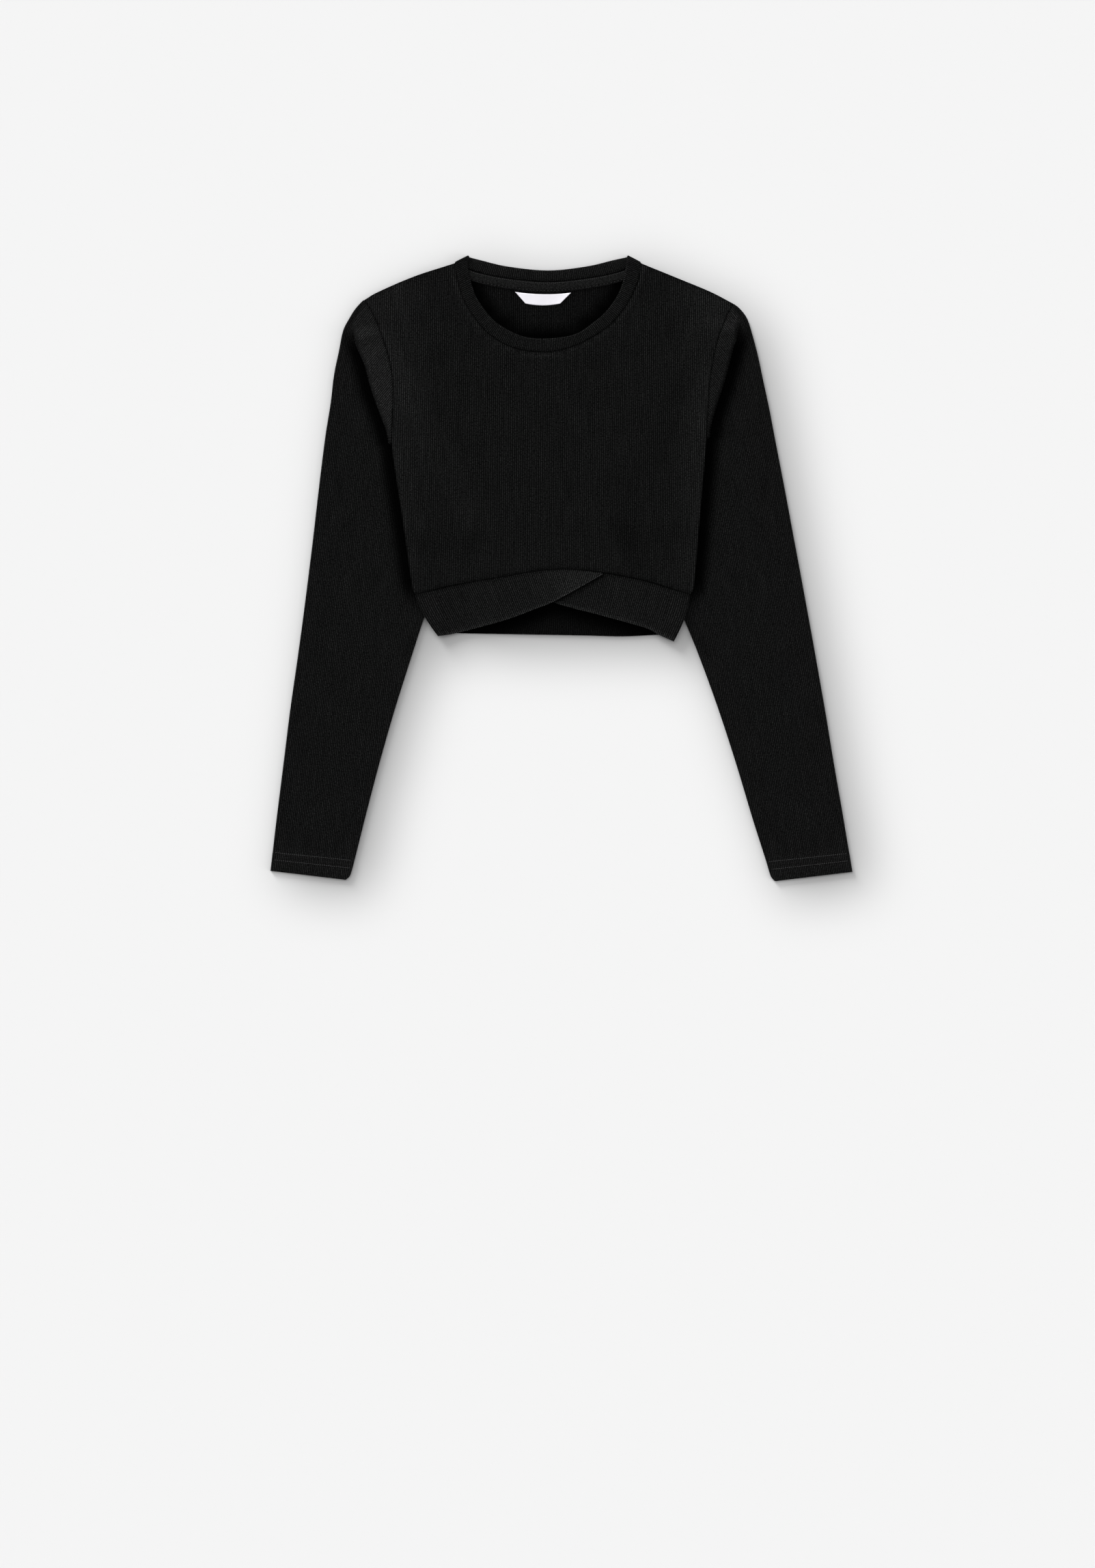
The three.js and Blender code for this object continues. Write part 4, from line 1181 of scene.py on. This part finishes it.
def maths(tree, operation, first, second=None, third=None):
    made = node(tree, "ShaderNodeMath", operation=operation)
    for k, value in enumerate((first, second, third)):
        if value is None:
            continue
        if isinstance(value, (int, float)):
            made.inputs[k].default_value = value
        else:
            tree.links.new(value, made.inputs[k])
    return made.outputs[0]


def texture(tree, kind, vector, inputs, **settings):
    made = node(tree, kind, **settings)
    for key, value in inputs.items():
        made.inputs[key].default_value = value
    tree.links.new(vector, made.inputs["Vector"])
    return made.outputs["Fac"]


def noise(tree, vector, scale, detail=2.0, roughness=0.5):
    inputs = {"Scale": scale, "Detail": detail, "Roughness": roughness}
    return texture(tree, "ShaderNodeTexNoise", vector, inputs)


def stripes(tree, vector, direction, scale, distortion=0.0):
    inputs = {"Scale": scale, "Distortion": distortion}
    return texture(tree, "ShaderNodeTexWave", vector, inputs, bands_direction=direction)


def spread(tree, value, low, high):
    """A value from 0 to 1, spread from low to high."""
    return maths(tree, "MULTIPLY_ADD", value, high - low, low)


def product(tree, first, *others):
    for value in others:
        first = maths(tree, "MULTIPLY", first, value)
    return first


def blank_material(name, roughness, specular, attribute="knit"):
    """A new material, its shader, and the attribute that it draws on."""
    material = bpy.data.materials.new(name)
    material.use_nodes = True
    tree = material.node_tree
    shader = tree.nodes["Principled BSDF"]
    shader.inputs["Roughness"].default_value = roughness
    shader.inputs["Specular IOR Level"].default_value = specular
    return material, tree, shader, node(tree, "ShaderNodeAttribute", attribute_name=attribute)


def paint(tree, shader, level, tint=(1, 1, 1)):
    """Gives the shader a tint, scaled by a level."""
    colour = node(tree, "ShaderNodeVectorMath", operation="SCALE")
    colour.inputs[0].default_value = tint
    tree.links.new(level, colour.inputs["Scale"])
    tree.links.new(colour.outputs[0], shader.inputs["Base Color"])


def emboss(tree, shader, height, strength, distance):
    bump = node(tree, "ShaderNodeBump")
    bump.inputs["Strength"].default_value = strength
    bump.inputs["Distance"].default_value = distance * MM
    tree.links.new(height, bump.inputs["Height"])
    tree.links.new(bump.outputs[0], shader.inputs["Normal"])


def cloth_material(name, pitch, rib_share=RIB_SHARE, loop_length=LOOP_LENGTH):
    """Fine rib knit: lighter along each rib's back and darker between ribs, as painted highlight and shade,
    broken up by its stitches.
    """
    material, tree, shader, place = blank_material(name, 0.5, CLOTH_SPECULAR)
    parts = node(tree, "ShaderNodeSeparateXYZ")
    tree.links.new(place.outputs["Vector"], parts.inputs[0])
    across, down, tone = parts.outputs
    flat = node(tree, "ShaderNodeCombineXYZ")
    tree.links.new(across, flat.inputs[0])
    tree.links.new(down, flat.inputs[1])
    where = flat.outputs[0]

    wobble = spread(tree, noise(tree, where, 0.16, 1), -RIB_WOBBLE, RIB_WOBBLE)
    turns = maths(tree, "MULTIPLY_ADD", across, 2 * math.pi / pitch, wobble)
    rib = maths(tree, "POWER", spread(tree, maths(tree, "COSINE", turns), 0.5, 1), RIB_POWER)
    drift = product(tree, noise(tree, where, 0.5, 1), LOOP_DRIFT)
    loop_turns = maths(tree, "MULTIPLY_ADD", down, 2 * math.pi / loop_length, drift)
    half_ribs = maths(tree, "MULTIPLY_ADD", across, math.pi / pitch, loop_turns)
    loop = spread(tree, maths(tree, "COSINE", half_ribs), 0.5, 1)
    fibre = noise(tree, where, *FIBRE_NOISE)
    streaks = node(tree, "ShaderNodeVectorMath", operation="MULTIPLY")
    streaks.inputs[1].default_value = (1 / pitch, STREAK_STRETCH, 1)
    tree.links.new(where, streaks.inputs[0])
    streak = noise(tree, streaks.outputs[0], 1.0, 2, 0.6)

    shown = product(
        tree,
        maths(tree, "ADD", product(tree, rib, rib_share), (1 - rib_share) * 0.5),
        spread(tree, loop, *LOOP_RANGE),
        spread(tree, streak, *STREAK_RANGE),
        maths(tree, "MAXIMUM", spread(tree, fibre, *FIBRE_RANGE), FIBRE_LEAST),
    )
    mottle = spread(tree, noise(tree, where, *MOTTLE_NOISE), *MOTTLE_RANGE)
    # The tone from each mesh brings in its painted light and shade
    paint(tree, shader, product(tree, spread(tree, shown, DARK, LIGHT), mottle, tone), CLOTH_TINT)

    height = product(tree, rib, spread(tree, loop, *LOOP_HEIGHTS))
    emboss(tree, shader, maths(tree, "MULTIPLY_ADD", fibre, FIBRE_HEIGHT, height), *CLOTH_BUMP)
    tree.links.new(spread(tree, fibre, *ROUGHNESS_RANGE), shader.inputs["Roughness"])
    shader.inputs["Sheen Weight"].default_value = CLOTH_SHEEN
    shader.inputs["Sheen Roughness"].default_value = 0.5
    shader.inputs["Sheen Tint"].default_value = SHEEN_TINT
    return material


def thread_material(name, share):
    """Twisted black thread. Share scales its light, so that it stands out less."""
    material, tree, shader, place = blank_material(name, 0.55, 0.2)
    twist = stripes(tree, place.outputs["Vector"], "DIAGONAL", 1.6)
    paint(tree, shader, spread(tree, twist, share * THREAD_DARK, share * THREAD_LIGHT))
    return material


def label_material():
    """White woven satin: a fine close weave, with a soft gloss along it."""
    material, tree, shader, place = blank_material("white_satin", 0.5, 0.3)
    where = place.outputs["Vector"]
    weave = product(tree, stripes(tree, where, "X", 1.1, 0.4), stripes(tree, where, "Y", 0.8))
    cloudy = noise(tree, where, 0.12, 2)
    level = product(tree, spread(tree, weave, *WEAVE_RANGE), spread(tree, cloudy, *CLOUDY_RANGE))
    paint(tree, shader, level, LABEL_COLOUR)
    emboss(tree, shader, weave, *LABEL_BUMP)
    return material


def dress(piece, material, slot, *replaced):
    """Gives a piece its material and its place in the frame."""
    piece.data.materials.append(material)
    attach(piece, "root")
    if replaced:
        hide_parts(*replaced)
    return piece


def spread_cells(cells, pick):
    """Each cell's value, or the most or least of its neighbours', as picked."""
    for axis in (0, 1):
        cells = pick.reduce([cells, np.roll(cells, 1, axis), np.roll(cells, -1, axis)])
    return cells


def floor_shade(pieces, x, y):
    """Share of light painted on the floor at a grid of places, in the pieces' shifted and blurred outline.
    """
    cells = np.zeros((len(y), len(x)))
    for piece in pieces:
        points = np.zeros(3 * len(piece.data.vertices))
        piece.data.vertices.foreach_get("co", points)
        across = (points[0::3] / MM + SHADOW_SHIFT[0] - x[0]) / SHADOW_CELL
        up = (points[1::3] / MM + SHADOW_SHIFT[1] - y[0]) / SHADOW_CELL
        cells[up.round().astype(int), across.round().astype(int)] = 1
    for pick in (np.maximum, np.maximum, np.minimum, np.minimum):
        cells = spread_cells(cells, pick)
    reach = math.ceil(3 * SHADOW_BLUR / SHADOW_CELL)
    weights = np.exp(-0.5 * (np.arange(-reach, reach + 1) * SHADOW_CELL / SHADOW_BLUR) ** 2)
    weights /= weights.sum()
    for axis in (0, 1):
        cells = np.apply_along_axis(np.convolve, axis, cells, weights, "same")
    return 1 - SHADOW_DEPTH * cells


def lay_floor(pieces):
    """A pale floor, finely divided round the garment, where it carries a painted soft shadow."""
    x, y = (np.arange(-reach, reach + 1, SHADOW_CELL) for reach in SHADOW_REACH)
    shade_inside = floor_shade(pieces, x, y)
    shares = np.pad(shade_inside, 1, constant_values=1)
    x, y = (np.concatenate([[-FLOOR_HALF], places, [FLOOR_HALF]]) for places in (x, y))
    points = stack(x[None, :], y[:, None], 0.0).reshape(-1, 3)
    rows, columns = shares.shape
    faces = [
        (k, k + 1, k + columns + 1, k + columns)
        for i in range(rows - 1) for k in range(i * columns, i * columns + columns - 1)
    ]
    floor = new_mesh("floor", points, faces, "light", shares.ravel())
    material, tree, shader, light = blank_material("pale_floor", 1, 0, "light")
    paint(tree, shader, product(tree, light.outputs["Fac"], FLOOR_ALBEDO))
    floor.data.materials.append(material)


def studio():
    """A soft sky and wide soft lights, two of them low enough to draw the garment's folds."""
    world = bpy.data.worlds.new("studio")
    world.use_nodes = True
    sky = world.node_tree.nodes["Background"]
    sky.inputs["Color"].default_value = (1, 1, 1, 1)
    sky.inputs["Strength"].default_value = SKY
    bpy.context.scene.world = world
    for name, azimuth, elevation, width, strength in SOFT_LIGHTS:
        light = bpy.data.lights.new(name, "SUN")
        light.angle = math.radians(width)
        light.energy = strength
        lamp = new_object(name, light)
        turn, lift = math.radians(azimuth), math.radians(elevation)
        way = Vector((math.cos(turn) * math.cos(lift), math.sin(turn) * math.cos(lift), math.sin(lift)))
        lamp.location = way
        lamp.rotation_euler = way.to_track_quat("Z", "Y").to_euler()


def camera():
    data = bpy.data.cameras.new("camera")
    data.lens = LENS
    data.sensor_fit = "VERTICAL"
    data.sensor_height = SENSOR
    data.sensor_width = SENSOR * PHOTO_ASPECT
    made = new_object("camera", data)
    x, y = CAMERA_PLACE
    made.location = Vector((x, y, FRAME_LONG * LENS / SENSOR)) * MM
    data.clip_end = 100
    bpy.context.scene.camera = made


camera()
studio()
bpy.context.scene.view_settings.view_transform = "Standard"

body_rib = cloth_material("rib_jersey_body", BODY_PITCH)
sleeve_rib = cloth_material("rib_jersey_sleeve", SLEEVE_PITCH)
band_rib = cloth_material("rib_jersey_band", BAND_PITCH)
tape_knit = cloth_material("tape_jersey", TAPE_PITCH, TAPE_RIB_SHARE, TAPE_PITCH)
thread = thread_material("black_thread", 1)
tape_thread = thread_material("black_tape_thread", TAPE_THREAD_SHARE)

front = dress(front_panel(), body_rib, "rib_knit", "front_panel")
back = dress(back_panel(), body_rib, "rib_knit", "back_panel")
sleeves = [dress(sleeve_cloth(s), sleeve_rib, "rib_knit", s.name) for s in (LEFT_SLEEVE, RIGHT_SLEEVE)]
bands = [
    dress(piece, band_rib, "rib_band", piece.name.removesuffix("_cloth"))
    for piece in waistbands()
]
collar = dress(neckband(), band_rib, "rib_band", "neckband")
tape = dress(neck_tape(), tape_knit, "tape", "neck_tape")
woven_label = dress(label(), label_material(), "label", "label")
cuff_rows = [dress(cuff_stitches(s), thread, "rib_knit") for s in (LEFT_SLEEVE, RIGHT_SLEEVE)]
tape_row = dress(tape_stitches(), tape_thread, "tape")
lay_floor([front, back, collar, *sleeves, *bands])
